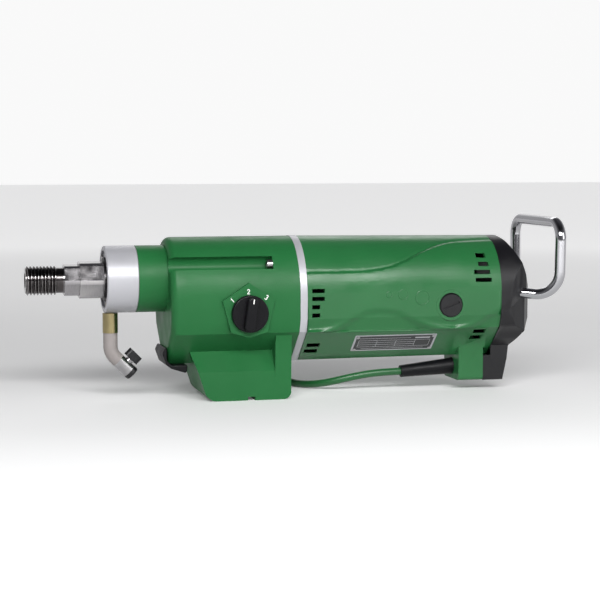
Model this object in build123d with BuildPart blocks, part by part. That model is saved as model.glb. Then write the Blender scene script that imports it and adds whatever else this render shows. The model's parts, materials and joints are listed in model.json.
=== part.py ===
from build123d import *
import math
import os

# Rig-mount diamond core drill motor. Millimetres.
# +X runs along the spindle towards the rear, -Y is the control side, +Z is up. The origin is the
# centre of the keyed foot face, so the rig's mounting plane is Z = 0.

# ---------------------------------------------------------------- heights and body section
SPINDLE_Z = 131.0        # drill spindle axis above the foot face
MOTOR_Z = 100.0          # armature axis above the foot face
BODY_HALF = 58.7         # half width of gearbox and motor housing
BODY_TOP = 176.0         # highest line of the housing
BODY_MID = 112.0         # height where the domed top starts
SIDE_LOW_Z = 88.0        # height where the flat side ends
KINK_Y, KINK_Z = 54.0, 74.0      # edge between side and lower facet
KEEL_Y, KEEL_Z = 12.0, 38.5      # edge between lower facet and bottom
BOX_WALL = 4.5           # gearbox casting wall
SHELL_WALL = 3.5         # plastic housing wall

# ---------------------------------------------------------------- stations along X
THREAD_TIP = -238.0
THREAD_LONG = 38.0
SMALL_HEX_X = -197.0
BIG_HEX_X = -181.0
RING_FRONT = -154.0
RING_LONG = 34.0
NECK_LONG = 31.0
BOX_LONG = 140.0
BAND_LONG = 8.0
MOTOR_LONG = 222.0
NECK_FRONT = RING_FRONT + RING_LONG
BOX_FRONT = NECK_FRONT + NECK_LONG
BOX_REAR = BOX_FRONT + BOX_LONG
BAND_REAR = BOX_REAR + BAND_LONG
MOTOR_REAR = BAND_REAR + MOTOR_LONG

# ---------------------------------------------------------------- fits
RUN = 0.03               # radial clearance of a running fit
GAP = 0.4                # clearance between pieces that only pass each other
SEAT = 0.05              # clearance of a piece seated in a pocket

# ---------------------------------------------------------------- spindle and water swivel
THREAD_R = 15.875        # 1 1/4 in major diameter
THREAD_PITCH = 25.4 / 7  # 7 threads per inch
THREAD_DEPTH = 0.6134 * THREAD_PITCH
SMALL_HEX = 32.0         # across flats
BIG_HEX = 38.0           # across flats
WATER_BORE_R = 8.0
JOURNAL_R = 17.5         # front bearing 35 x 62 x 14
BEARING_R = 31.0
BEARING_WIDE = 14.0
REAR_JOURNAL_R = 10.0    # rear bearing 20 x 47 x 14
REAR_BEARING_R = 23.5
NECK_R = 36.3            # neck and water ring
SEAL_WIDE = 5.0
CHAMBER_R = 23.5
CHAMBER_WIDE = 9.0
NIPPLE_X = -147.0

# ---------------------------------------------------------------- gears
FINAL_MODULE, SPINDLE_TEETH, OUTPUT_TEETH = 2.0, 32, 13
SPEED_MODULE = 1.5
LAY_TEETH = (18, 23, 28)          # fixed on the layshaft, speeds 1, 2, 3
FREE_TEETH = (34, 29, 24)         # free on the shift shaft, speeds 1, 2, 3
INPUT_MODULE, ARMATURE_TEETH, INPUT_TEETH = 1.0, 11, 40
FINAL_GEAR_X, FINAL_GEAR_WIDE = -72.0, 20.0
SPEED_GEAR_X = 2.0                # middle of the second speed's gears
GEAR_STEP = 11.0                  # from one speed's gears to the next
GEAR_WIDE = 9.5
INPUT_GEAR_X, INPUT_GEAR_WIDE = 40.0, 8.0
SHIFT_Y = -20.0                   # shift shaft's offset to the control side
SHIFT_R = 10.0
KEY_BORE_R = 4.5
SMALL_JOURNAL_R = 5.0             # bearings 10 x 22 x 6
SMALL_BEARING_R = 11.0
SMALL_BEARING_WIDE = 6.0

FINAL_CENTRES = FINAL_MODULE * (SPINDLE_TEETH + OUTPUT_TEETH) / 2
SPEED_CENTRES = SPEED_MODULE * (LAY_TEETH[0] + FREE_TEETH[0]) / 2
INPUT_CENTRES = INPUT_MODULE * (ARMATURE_TEETH + INPUT_TEETH) / 2
SPINDLE_AXIS = (0.0, SPINDLE_Z)
MOTOR_AXIS = (0.0, MOTOR_Z)
SHIFT_AXIS = (SHIFT_Y, SPINDLE_Z - math.sqrt(FINAL_CENTRES**2 - SHIFT_Y**2))


def layshaft_axis():
    """Point at the input centres from the armature and the speed centres from the shift shaft."""
    across, up = SHIFT_AXIS[0] - MOTOR_AXIS[0], SHIFT_AXIS[1] - MOTOR_AXIS[1]
    apart = math.hypot(across, up)
    along = (INPUT_CENTRES**2 - SPEED_CENTRES**2 + apart**2) / (2 * apart)
    aside = math.sqrt(INPUT_CENTRES**2 - along**2)
    across, up = across / apart, up / apart
    return (MOTOR_AXIS[0] + along * across - aside * up, MOTOR_AXIS[1] + along * up + aside * across)


LAY_AXIS = layshaft_axis()

# ---------------------------------------------------------------- gear selector
KNOB_X, KNOB_Z = -6.0, 96.0
KNOB_R = 20.0
KNOB_HIGH = 14.0
PAD_HIGH = 3.3                    # knob pad above the housing side
SELECTOR_R = 6.0
DISC_R, DISC_THICK = 18.6, 3.0
ECCENTRIC = 15.6                  # crank radius: 45 degrees moves the fork one gear step
CRANK_PIN_R = 2.5
FORK_ROD_AXIS = (-42.0, 118.0)
FORK_ROD_R = 4.0
COLLAR_X, COLLAR_WIDE = 35.0, 8.0
COLLAR_R, COLLAR_GROOVE_R = 12.0, 9.7

# ---------------------------------------------------------------- rig foot
FOOT_HALF = 45.0
FOOT_FRONT, FOOT_REAR = -48.2, 44.0
FOOT_LEAN = 0.323                 # forward lean of the front edge per millimetre of height
SHOULDER_Z, SHOULDER_TOP_Z, SHOULDER_Y = 32.0, 57.0, 26.0
WEB_FRONT = 26.0
KEYWAY_WIDE, KEYWAY_DEEP = 8.0, 4.0
FOOT_BOLT_X, FOOT_BOLT_Y = 54.0, 60.0
FOOT_BOLT_R, FOOT_BOLT_DEEP = 3.4, 18.0

# ---------------------------------------------------------------- housing screws
CHANNEL_Y, CHANNEL_Z = 43.0, 147.5
CHANNEL_HALF = 8.0
CHANNEL_END = 23.0
SCREW_R, SCREW_HEAD_R, SCREW_HEAD_LONG = 3.0, 5.0, 6.0
HOUSING_SCREW_LONG = 52.0

# ---------------------------------------------------------------- motor
MOTOR_SHAFT_R = 7.5
MOTOR_BEARING_R, MOTOR_BEARING_WIDE = 17.5, 11.0
STATOR_R, STATOR_BORE_R = 46.0, 27.0
STATOR_FRONT, STATOR_LONG = 112.0, 62.0
CORE_R = 26.4
COMMUTATOR_R, COMMUTATOR_LONG = 19.0, 26.0
BRUSH_X = MOTOR_REAR - 59.0
BRUSH_X_WIDE, BRUSH_Z_HIGH = 12.0, 7.0
BRUSH_CAP_R, BRUSH_RING_R = 13.2, 17.0
FAN_X, FAN_WIDE, FAN_R = 73.0, 15.0, 43.0
REAR_BRIDGE_X, REAR_BRIDGE_LONG = MOTOR_REAR - 35.0, 14.0
REAR_TOP, REAR_KEEL = 174.0, 39.5     # housing's top and bottom at its rear face
VENT_HIGH = 4.5

# ---------------------------------------------------------------- rear foot, cap and cord
REAR_FOOT_FRONT, REAR_FOOT_Z, REAR_FOOT_HALF = MOTOR_REAR - 38.0, 11.0, 25.0
REAR_FOOT_SPLIT = MOTOR_REAR - 9.0
CAP_WALL = 3.5
BOOT_Z, BOOT_LONG = 25.5, 61.0
CORD_R = 4.25
COIL_X, COIL_Y = 25.0, 118.0
COIL_MID_R = 10 * CORD_R
COIL_LAYERS = 5
HANDLE_R = 6.0
HANDLE_X, HANDLE_Y, HANDLE_TOP, HANDLE_LOW = MOTOR_REAR + 65.0, 70.0, 190.0, 108.5

os.makedirs("parts", exist_ok=True)


# ---------------------------------------------------------------- helpers
def across_x(x, axis=(0.0, 0.0)):
    """Plane facing +X whose own x and y are the row's Y and Z."""
    return Plane(origin=(x, axis[0], axis[1]), x_dir=(0, 1, 0), z_dir=(1, 0, 0))


def from_side(y):
    """Plane at Y = y facing the control side, whose own x and y are the row's X and Z."""
    return Plane(origin=(0, y, 0), x_dir=(1, 0, 0), z_dir=(0, -1, 0))


def turn(points, axis, mode=Mode.ADD):
    """Turns a closed profile of (x, radius) points about the line along X at axis = (y, z)."""
    half_plane = Plane(origin=(0, axis[0], axis[1]), x_dir=(1, 0, 0), z_dir=(0, -1, 0))
    with BuildSketch(half_plane) as profile:
        with BuildLine():
            Polyline(*points, close=True)
        make_face()
    revolve(profile.sketch, axis=Axis((0, axis[0], axis[1]), (1, 0, 0)), mode=mode)


def tube(x, long, outer, inner, axis, mode=Mode.ADD):
    """Ring or disc along X."""
    with BuildSketch(across_x(x, axis)) as ring:
        Circle(outer)
        if inner:
            Circle(inner, mode=Mode.SUBTRACT)
    extrude(ring.sketch, amount=long, mode=mode)


def post(at, direction, long, radius, mode=Mode.ADD):
    """Cylinder from a point along a direction."""
    with BuildSketch(Plane(origin=at, z_dir=direction)) as disc:
        Circle(radius)
    extrude(disc.sketch, amount=long, mode=mode)


def body_outline(grow=0.0, top=BODY_TOP, keel=KEEL_Z):
    """Outline of the housing across X, grown or shrunk, as a face of the open sketch."""
    half = BODY_HALF + grow
    with BuildLine() as outline:
        dome = EllipticalCenterArc((0, BODY_MID), half, top - BODY_MID + grow, 0, arc_size=180)
        slant = 0.42 * grow
        Polyline(
            dome @ 1,
            (-half, SIDE_LOW_Z - slant),
            (-KINK_Y - grow, KINK_Z - slant),
            (-KEEL_Y - slant, keel - grow),
            (KEEL_Y + slant, keel - grow),
            (KINK_Y + grow, KINK_Z - slant),
            (half, SIDE_LOW_Z - slant),
            dome @ 0,
        )
    make_face(outline.edges())


def gear_outline(teeth, module, tooth_at, thin=0.12):
    """Toothed outline about the sketch origin with a tooth centred at the angle tooth_at (degrees)."""
    pitch_r = module * teeth / 2
    tip_r, root_r = pitch_r + 0.85 * module, pitch_r - 1.2 * module
    tip_half = math.degrees(0.30 * module / tip_r)
    pitch_half = math.degrees((math.pi * module / 4 - thin * module) / pitch_r)
    root_half = min(math.degrees(0.98 * module / root_r), 180 / teeth - 0.6)
    points = []
    for tooth in range(teeth):
        middle = tooth_at + 360 * tooth / teeth
        for radius, turn_by in (
            (root_r, -root_half),
            (pitch_r, -pitch_half),
            (tip_r, -tip_half),
            (tip_r, tip_half),
            (pitch_r, pitch_half),
            (root_r, root_half),
        ):
            angle = math.radians(middle + turn_by)
            points.append((radius * math.cos(angle), radius * math.sin(angle)))
    with BuildLine() as outline:
        Polyline(*points, close=True)
    make_face(outline.edges())


def gear(x, wide, teeth, module, axis, tooth_at, bore=0.0):
    """Spur gear from x, with an optional bore."""
    with BuildSketch(across_x(x, axis)) as face:
        gear_outline(teeth, module, tooth_at)
        if bore:
            Circle(bore, mode=Mode.SUBTRACT)
    extrude(face.sketch, amount=wide)


def facing(axis, other):
    """Angle of the line from one shaft to another, in degrees."""
    return math.degrees(math.atan2(other[1] - axis[1], other[0] - axis[0]))


def gap_facing(axis, other, teeth):
    """Tooth angle that turns a tooth gap towards the other shaft."""
    return facing(axis, other) + 180 / teeth


def save(piece, name):
    """Labels a finished piece and writes its STEP."""
    piece.part.label = name
    export_step(piece.part, f"parts/{name}.step")


# ================================================================ spindle
def thread_profile():
    """Crest and root points of the spindle thread, drawn as rings of the thread's pitch."""
    points = []
    crest_half = THREAD_PITCH / 16
    for crest in range(int((THREAD_LONG - 3.0) / THREAD_PITCH)):
        middle = THREAD_TIP + 2.4 + crest * THREAD_PITCH
        points += [
            (middle - THREAD_PITCH / 2 + crest_half, THREAD_R - THREAD_DEPTH),
            (middle - crest_half, THREAD_R),
            (middle + crest_half, THREAD_R),
            (middle + THREAD_PITCH / 2 - crest_half, THREAD_R - THREAD_DEPTH),
        ]
    return points


FRONT_BEARING_X = BOX_FRONT - BEARING_WIDE - 1.0
PLATE_X, PLATE_LONG = -46.0, 14.0
REAR_BEARING_X = PLATE_X + 0.5

with BuildPart() as drill_spindle:
    turn(
        [
            (THREAD_TIP, 0),
            (THREAD_TIP, THREAD_R - THREAD_DEPTH),
            *thread_profile(),
            (SMALL_HEX_X - 3, THREAD_R - THREAD_DEPTH),
            (SMALL_HEX_X, THREAD_R - THREAD_DEPTH),
            (SMALL_HEX_X, SMALL_HEX / 2),
            (BIG_HEX_X, SMALL_HEX / 2),
            (BIG_HEX_X, JOURNAL_R),
            (RING_FRONT, JOURNAL_R),
            (FINAL_GEAR_X - 4, JOURNAL_R),
            (FINAL_GEAR_X - 4, JOURNAL_R + 3),
            (FINAL_GEAR_X, JOURNAL_R + 3),
            (FINAL_GEAR_X, JOURNAL_R - 1.5),
            (FINAL_GEAR_X + FINAL_GEAR_WIDE, JOURNAL_R - 1.5),
            (FINAL_GEAR_X + FINAL_GEAR_WIDE, REAR_JOURNAL_R + 3),
            (REAR_BEARING_X, REAR_JOURNAL_R + 3),
            (REAR_BEARING_X, REAR_JOURNAL_R),
            (REAR_BEARING_X + BEARING_WIDE + 1.5, REAR_JOURNAL_R),
            (REAR_BEARING_X + BEARING_WIDE + 1.5, 0),
        ],
        SPINDLE_AXIS,
    )
    for station, long, flats in (
        (SMALL_HEX_X, BIG_HEX_X - SMALL_HEX_X, SMALL_HEX),
        (BIG_HEX_X, RING_FRONT - 1 - BIG_HEX_X, BIG_HEX),
    ):
        with BuildSketch(across_x(station, SPINDLE_AXIS)):
            RegularPolygon(flats / 2, 6, major_radius=False, rotation=5)
            Circle(flats / 2 * 1.09, mode=Mode.INTERSECT)
        extrude(amount=long)
    tube(THREAD_TIP, RING_FRONT + 12 - THREAD_TIP, WATER_BORE_R, 0, SPINDLE_AXIS, Mode.SUBTRACT)
    post((NIPPLE_X, 0, SPINDLE_Z - JOURNAL_R - 3), (0, 0, 1), 2 * JOURNAL_R + 6, 3.0, Mode.SUBTRACT)
save(drill_spindle, "drill_spindle")

with BuildPart() as spindle_gear:
    gear(
        FINAL_GEAR_X + SEAT, FINAL_GEAR_WIDE - 2 * SEAT, SPINDLE_TEETH, FINAL_MODULE, SPINDLE_AXIS,
        facing(SPINDLE_AXIS, SHIFT_AXIS), JOURNAL_R - 1.5,
    )
save(spindle_gear, "spindle_gear")


def bearing(x, wide, outer, inner, axis):
    """Shielded ball bearing drawn as one ring with a step between races and shield."""
    race = (outer - inner) * 0.22
    turn(
        [
            (x, inner), (x, inner + race), (x + 0.6, inner + race), (x + 0.6, outer - race),
            (x, outer - race), (x, outer), (x + wide, outer), (x + wide, outer - race),
            (x + wide - 0.6, outer - race), (x + wide - 0.6, inner + race), (x + wide, inner + race),
            (x + wide, inner),
        ],
        axis,
    )


with BuildPart() as spindle_front_bearing:
    bearing(FRONT_BEARING_X, BEARING_WIDE, BEARING_R, JOURNAL_R + RUN, SPINDLE_AXIS)
save(spindle_front_bearing, "spindle_front_bearing")

with BuildPart() as spindle_rear_bearing:
    wide = BEARING_WIDE - 2 * SEAT
    bearing(REAR_BEARING_X + SEAT, wide, REAR_BEARING_R, REAR_JOURNAL_R + RUN, SPINDLE_AXIS)
save(spindle_rear_bearing, "spindle_rear_bearing")

# ================================================================ water swivel
CHAMBER_X = NIPPLE_X - CHAMBER_WIDE / 2
SEAL_R = 25.0
FACE_RECESS = 2.5
FACE_RECESS_R = 31.5
RING_SCREW_PCD_R = 28.2
REAR_SEAL_X = CHAMBER_X + CHAMBER_WIDE + 1.0

with BuildPart() as water_ring:
    tube(RING_FRONT, RING_LONG, NECK_R, JOURNAL_R + 2, SPINDLE_AXIS)
    chamfer(water_ring.edges().filter_by(GeomType.CIRCLE).sort_by(SortBy.RADIUS)[-2:], 1.0)
    tube(RING_FRONT, FACE_RECESS, FACE_RECESS_R, 0, SPINDLE_AXIS, Mode.SUBTRACT)
    tube(CHAMBER_X, CHAMBER_WIDE, CHAMBER_R, 0, SPINDLE_AXIS, Mode.SUBTRACT)
    tube(REAR_SEAL_X, SEAL_WIDE, SEAL_R, 0, SPINDLE_AXIS, Mode.SUBTRACT)
    post((NIPPLE_X, 0, SPINDLE_Z - NECK_R - 2), (0, 0, 1), NECK_R - 18, 5.0, Mode.SUBTRACT)
    for turn_by in (50, 140, 230, 320):
        angle = math.radians(turn_by)
        at = (RING_SCREW_PCD_R * math.cos(angle), SPINDLE_Z + RING_SCREW_PCD_R * math.sin(angle))
        tube(RING_FRONT, 12, 1.75, 0, at, Mode.SUBTRACT)
save(water_ring, "water_ring")

with BuildPart() as shaft_seals:
    tube(RING_FRONT + FACE_RECESS - 2.4, 2.3, RING_SCREW_PCD_R - 4.2, JOURNAL_R + RUN, SPINDLE_AXIS)
    tube(REAR_SEAL_X + SEAT, SEAL_WIDE - 2 * SEAT, SEAL_R - SEAT, JOURNAL_R + RUN, SPINDLE_AXIS)
save(shaft_seals, "shaft_seals")

with BuildPart() as ring_screws:
    for turn_by in (50, 140, 230, 320):
        angle = math.radians(turn_by)
        at = (RING_SCREW_PCD_R * math.cos(angle), SPINDLE_Z + RING_SCREW_PCD_R * math.sin(angle))
        tube(RING_FRONT + FACE_RECESS - 2.2, 2.2, 3.0, 0, at)
        tube(RING_FRONT + FACE_RECESS, 8, 1.7, 0, at)
        tube(RING_FRONT + FACE_RECESS - 2.2, 1.2, 1.3, 0, at, Mode.SUBTRACT)
save(ring_screws, "ring_screws")

# ================================================================ gearbox casting
KNOB_PAD_Y = -BODY_HALF - PAD_HIGH

with BuildPart() as foot_block:
    with BuildSketch(from_side(0)) as foot_side:
        with BuildLine():
            high = 92.0
            Polyline(
                (FOOT_FRONT, 0), (FOOT_REAR, 0), (FOOT_REAR, high),
                (FOOT_FRONT - FOOT_LEAN * 60, high), (FOOT_FRONT - FOOT_LEAN * 60, 60), close=True,
            )
        make_face()
        corners = foot_side.vertices().group_by(Axis.Y)[0].sort_by(Axis.X)
        fillet(corners[0], 15.0)
        fillet(foot_side.vertices().group_by(Axis.Y)[0].sort_by(Axis.X)[-1], 8.5)
    extrude(amount=FOOT_HALF, both=True)
    with BuildSketch(across_x(FOOT_FRONT - 30)):
        Polygon(
            (-FOOT_HALF, 0), (FOOT_HALF, 0), (FOOT_HALF, SHOULDER_Z), (SHOULDER_Y, SHOULDER_TOP_Z),
            (-SHOULDER_Y, SHOULDER_TOP_Z), (-FOOT_HALF, SHOULDER_Z), align=None,
        )
    extrude(amount=WEB_FRONT - FOOT_FRONT + 30 + 18, mode=Mode.INTERSECT)
    with BuildSketch(Plane.XY):
        with Locations((0, 0)):
            Rectangle(KEYWAY_WIDE, 2 * FOOT_HALF + 2)
    extrude(amount=KEYWAY_DEEP, mode=Mode.SUBTRACT)

with BuildPart() as web_block:
    with BuildSketch(across_x(WEB_FRONT)):
        Polygon(
            (-FOOT_HALF, 20), (FOOT_HALF, 20), (FOOT_HALF + 2, 62), (KINK_Y - 3, KINK_Z),
            (-KINK_Y + 3, KINK_Z), (-FOOT_HALF - 2, 62), align=None,
        )
    extrude(amount=FOOT_REAR - WEB_FRONT)

with BuildPart() as gearbox_housing:
    with BuildSketch(across_x(BOX_FRONT)):
        body_outline()
    extrude(amount=BOX_LONG)
    fillet(gearbox_housing.edges().group_by(Axis.X)[0], 8.0)
    tube(NECK_FRONT, NECK_LONG + 3, NECK_R, 0, SPINDLE_AXIS)
    add(foot_block.part)
    add(web_block.part)
    # raised five-sided pad under the selector knob
    with BuildSketch(from_side(-BODY_HALF + 8)):
        Polygon(
            (KNOB_X, 129), (KNOB_X + 28, 110), (KNOB_X + 20, 76), (KNOB_X, 70),
            (KNOB_X - 20, 76), (KNOB_X - 29, 110), align=None,
        )
    extrude(amount=PAD_HIGH + 8)
    # screw channels along both upper sides
    for side in (-1, 1):
        with BuildSketch(across_x(BOX_FRONT - 1, (side * CHANNEL_Y, CHANNEL_Z))):
            with Locations(Location((0, 0, 0), (0, 0, -side * 62))):
                Circle(CHANNEL_HALF)
                Rectangle(2 * CHANNEL_HALF, 45, align=(Align.CENTER, Align.MIN))
        extrude(amount=CHANNEL_END - BOX_FRONT + 1, mode=Mode.SUBTRACT)
    # gear chamber, open at the rear, with ribs left around the channels and screw bosses
    with BuildSketch(across_x(BOX_FRONT + 9)):
        body_outline(-BOX_WALL)
        with Locations((CHANNEL_Y, CHANNEL_Z), (-CHANNEL_Y, CHANNEL_Z)):
            Circle(CHANNEL_HALF + 3.5, mode=Mode.SUBTRACT)
    extrude(amount=BOX_LONG - 9, mode=Mode.SUBTRACT)
    for at in ((22, 162), (-22, 162), (0, 48)):
        tube(BOX_REAR - 14, 14, 6, 0, at)
        tube(BOX_REAR - 12, 12, 2.5, 0, at, Mode.SUBTRACT)
    # spindle passage and bearing seats
    tube(NECK_FRONT - 1, BOX_FRONT + 12 - NECK_FRONT, JOURNAL_R + 4, 0, SPINDLE_AXIS, Mode.SUBTRACT)
    tube(FRONT_BEARING_X - SEAT, BEARING_WIDE + 20, BEARING_R + 0.01, 0, SPINDLE_AXIS, Mode.SUBTRACT)
    tube(BOX_FRONT + 3 - SEAT, 10, SMALL_BEARING_R + 0.01, 0, SHIFT_AXIS, Mode.SUBTRACT)
    # housing screws
    for side in (-1, 1):
        at = (side * CHANNEL_Y, CHANNEL_Z)
        tube(CHANNEL_END - 1, BOX_REAR - CHANNEL_END + 2, SCREW_R + GAP, 0, at, Mode.SUBTRACT)
    # pocket for the selector disc, and its bore
    disc_seat = -BODY_HALF + BOX_WALL
    post((KNOB_X, disc_seat, KNOB_Z), (0, 1, 0), 8, DISC_R + GAP, Mode.SUBTRACT)
    post((KNOB_X, KNOB_PAD_Y - 1, KNOB_Z), (0, 1, 0), 14, SELECTOR_R + RUN, Mode.SUBTRACT)
    # foot bolt holes
    with BuildSketch(Plane.XY):
        with GridLocations(FOOT_BOLT_X, FOOT_BOLT_Y, 2, 2):
            Circle(FOOT_BOLT_R)
    extrude(amount=FOOT_BOLT_DEEP, mode=Mode.SUBTRACT)
save(gearbox_housing, "gearbox_housing")

# black guard under the gearbox's front edge
with BuildPart() as front_bumper:
    with BuildSketch(from_side(0)):
        Polygon(
            (BOX_FRONT - 2.6, 57), (BOX_FRONT - 5.4, 51), (BOX_FRONT - 1, 38.5), (BOX_FRONT + 4.5, 34.5),
            (BOX_FRONT + 20, 29.5), (BOX_FRONT + 22, 32), (BOX_FRONT + 22, 38.2),
            (BOX_FRONT + 4.9, 38.2), (BOX_FRONT - 0.3, 43.4),
            (BOX_FRONT - 0.3, 57), align=None,
        )
    extrude(amount=26, both=True)
save(front_bumper, "front_bumper")

# ================================================================ bearing plate
with BuildPart() as bearing_plate:
    with BuildSketch(across_x(PLATE_X)):
        body_outline(-BOX_WALL - SEAT)
        with Locations((CHANNEL_Y, CHANNEL_Z), (-CHANNEL_Y, CHANNEL_Z)):
            Circle(CHANNEL_HALF + 3.5 + SEAT, mode=Mode.SUBTRACT)
        with Locations(SHIFT_AXIS):
            Circle(SHIFT_R + 3, mode=Mode.SUBTRACT)
    extrude(amount=PLATE_LONG)
    tube(PLATE_X, PLATE_LONG, REAR_BEARING_R - 5, 0, SPINDLE_AXIS, Mode.SUBTRACT)
    tube(REAR_BEARING_X, PLATE_LONG, REAR_BEARING_R + 0.01, 0, SPINDLE_AXIS, Mode.SUBTRACT)
    tube(PLATE_X + PLATE_LONG - 7, 8, SMALL_BEARING_R + 0.01, 0, LAY_AXIS, Mode.SUBTRACT)
    tube(PLATE_X + PLATE_LONG - 7, 8, FORK_ROD_R + 0.01, 0, FORK_ROD_AXIS, Mode.SUBTRACT)
save(bearing_plate, "bearing_plate")

# ================================================================ shift shaft and its gears
SHIFT_FRONT = BOX_FRONT + 4
SHIFT_REAR_JOURNAL = BOX_REAR + 1
OUTPUT_WIDE = FINAL_GEAR_WIDE + 2
KEY_SLOT = (SPEED_GEAR_X - 17.5, COLLAR_X + 17)
COLLAR_SEAT_R = 8.0

with BuildPart() as shift_shaft:
    turn(
        [
            (SHIFT_FRONT, 0), (SHIFT_FRONT, SMALL_JOURNAL_R), (FINAL_GEAR_X - 3, SMALL_JOURNAL_R),
            (FINAL_GEAR_X - 3, 9), (FINAL_GEAR_X + FINAL_GEAR_WIDE + 1, 9),
            (FINAL_GEAR_X + FINAL_GEAR_WIDE + 1, SHIFT_R), (SPEED_GEAR_X + 1.5 * GEAR_STEP, SHIFT_R),
            (SPEED_GEAR_X + 1.5 * GEAR_STEP, COLLAR_SEAT_R), (SHIFT_REAR_JOURNAL, COLLAR_SEAT_R),
            (SHIFT_REAR_JOURNAL, SMALL_JOURNAL_R), (BAND_REAR - 1, SMALL_JOURNAL_R), (BAND_REAR - 1, 0),
        ],
        SHIFT_AXIS,
    )
    gear(
        FINAL_GEAR_X - 1, OUTPUT_WIDE, OUTPUT_TEETH, FINAL_MODULE, SHIFT_AXIS,
        gap_facing(SHIFT_AXIS, SPINDLE_AXIS, OUTPUT_TEETH),
    )
    tube(KEY_SLOT[0], KEY_SLOT[1] - KEY_SLOT[0], KEY_BORE_R, 0, SHIFT_AXIS, Mode.SUBTRACT)
    with BuildSketch(Plane.XY.offset(SHIFT_AXIS[1])):
        with Locations(((KEY_SLOT[0] + KEY_SLOT[1]) / 2, SHIFT_AXIS[0])):
            Rectangle(KEY_SLOT[1] - KEY_SLOT[0], 4.0)
    extrude(amount=SHIFT_R + 2, mode=Mode.SUBTRACT)
save(shift_shaft, "shift_shaft")

for number in range(3):
    middle = SPEED_GEAR_X + (number - 1) * GEAR_STEP
    with BuildPart() as free_gear:
        gear(
            middle - GEAR_WIDE / 2, GEAR_WIDE, FREE_TEETH[number], SPEED_MODULE, SHIFT_AXIS,
            facing(SHIFT_AXIS, LAY_AXIS), SHIFT_R + RUN,
        )
        # key notch in the bore
        with BuildSketch(Plane.XY.offset(SHIFT_AXIS[1])):
            with Locations((middle, SHIFT_AXIS[0])):
                Rectangle(GEAR_WIDE + 2, 4.4)
        extrude(amount=SHIFT_R + 2.4, mode=Mode.SUBTRACT)
    save(free_gear, f"free_gear_{number + 1}")

with BuildPart() as draw_key:
    tube(SPEED_GEAR_X - 4, COLLAR_X + 4 - SPEED_GEAR_X + 4, KEY_BORE_R - 0.06, 0, SHIFT_AXIS)
    for start, long, high in (
        (SPEED_GEAR_X - 3.5, 7.0, SHIFT_R - 0.3),
        (COLLAR_X - 3.5, 7.0, COLLAR_SEAT_R - 0.3),
    ):
        with BuildSketch(Plane.XY.offset(SHIFT_AXIS[1])):
            with Locations((start + long / 2, SHIFT_AXIS[0])):
                Rectangle(long, 3.7)
        extrude(amount=high)
save(draw_key, "draw_key")

with BuildPart() as shift_collar:
    x = COLLAR_X - COLLAR_WIDE / 2
    lip = (COLLAR_WIDE - 4.4) / 2
    turn(
        [
            (x, COLLAR_SEAT_R + RUN), (x, COLLAR_R), (x + lip, COLLAR_R), (x + lip, COLLAR_GROOVE_R),
            (x + COLLAR_WIDE - lip, COLLAR_GROOVE_R), (x + COLLAR_WIDE - lip, COLLAR_R),
            (x + COLLAR_WIDE, COLLAR_R), (x + COLLAR_WIDE, COLLAR_SEAT_R + RUN),
        ],
        SHIFT_AXIS,
    )
save(shift_collar, "shift_collar")

FORK_THICK = 3.6
SLEEVE_R = 7.0
arm_angle = facing(SHIFT_AXIS, FORK_ROD_AXIS)
arm_long = math.dist(SHIFT_AXIS, FORK_ROD_AXIS)
with BuildPart() as shift_fork:
    tube(KNOB_X - 7, COLLAR_X + 3 - KNOB_X + 7, SLEEVE_R, 0, FORK_ROD_AXIS)
    # arm and prongs around the collar
    with BuildSketch(across_x(COLLAR_X - FORK_THICK / 2, SHIFT_AXIS)):
        Circle(COLLAR_R + 2.4)
        with Locations(Location((0, 0, 0), (0, 0, arm_angle - 90))):
            Rectangle(10, arm_long, align=(Align.CENTER, Align.MIN))
        Circle(COLLAR_GROOVE_R + GAP, mode=Mode.SUBTRACT)
        with Locations(Location((0, 0, 0), (0, 0, arm_angle + 90))):
            Rectangle(40, 30, align=(Align.CENTER, Align.MIN), mode=Mode.SUBTRACT)
    extrude(amount=FORK_THICK)
    # slotted lug for the crank pin
    with BuildSketch(from_side(-45)):
        with Locations((KNOB_X, 103)):
            Rectangle(13, 15, align=(Align.CENTER, Align.MIN))
    extrude(amount=4)
    with BuildSketch(from_side(-40)):
        with Locations((KNOB_X, 102)):
            Rectangle(2 * CRANK_PIN_R + 1.3, 12.6, align=(Align.CENTER, Align.MIN))
    extrude(amount=12, mode=Mode.SUBTRACT)
    tube(KNOB_X - 9, COLLAR_X + 5 - KNOB_X + 9, FORK_ROD_R + RUN, 0, FORK_ROD_AXIS, Mode.SUBTRACT)
save(shift_fork, "shift_fork")

with BuildPart() as fork_rod:
    x = PLATE_X + PLATE_LONG - 6.5
    tube(x, BOX_REAR + 4.5 - x, FORK_ROD_R, 0, FORK_ROD_AXIS)
save(fork_rod, "fork_rod")

# ================================================================ layshaft
with BuildPart() as layshaft:
    x = PLATE_X + PLATE_LONG - 6
    turn(
        [
            (x, 0), (x, SMALL_JOURNAL_R), (x + 6, SMALL_JOURNAL_R), (x + 6, 9), (BOX_REAR - 1, 9),
            (BOX_REAR - 1, SMALL_JOURNAL_R), (BAND_REAR - 1, SMALL_JOURNAL_R), (BAND_REAR - 1, 0),
        ],
        LAY_AXIS,
    )
    for number, teeth in enumerate(LAY_TEETH):
        gear(
            SPEED_GEAR_X + (number - 1) * GEAR_STEP - GEAR_WIDE / 2, GEAR_WIDE, teeth, SPEED_MODULE,
            LAY_AXIS, gap_facing(LAY_AXIS, SHIFT_AXIS, teeth),
        )
    gear(
        INPUT_GEAR_X, INPUT_GEAR_WIDE, INPUT_TEETH, INPUT_MODULE, LAY_AXIS,
        facing(LAY_AXIS, MOTOR_AXIS),
    )
save(layshaft, "layshaft")

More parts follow.
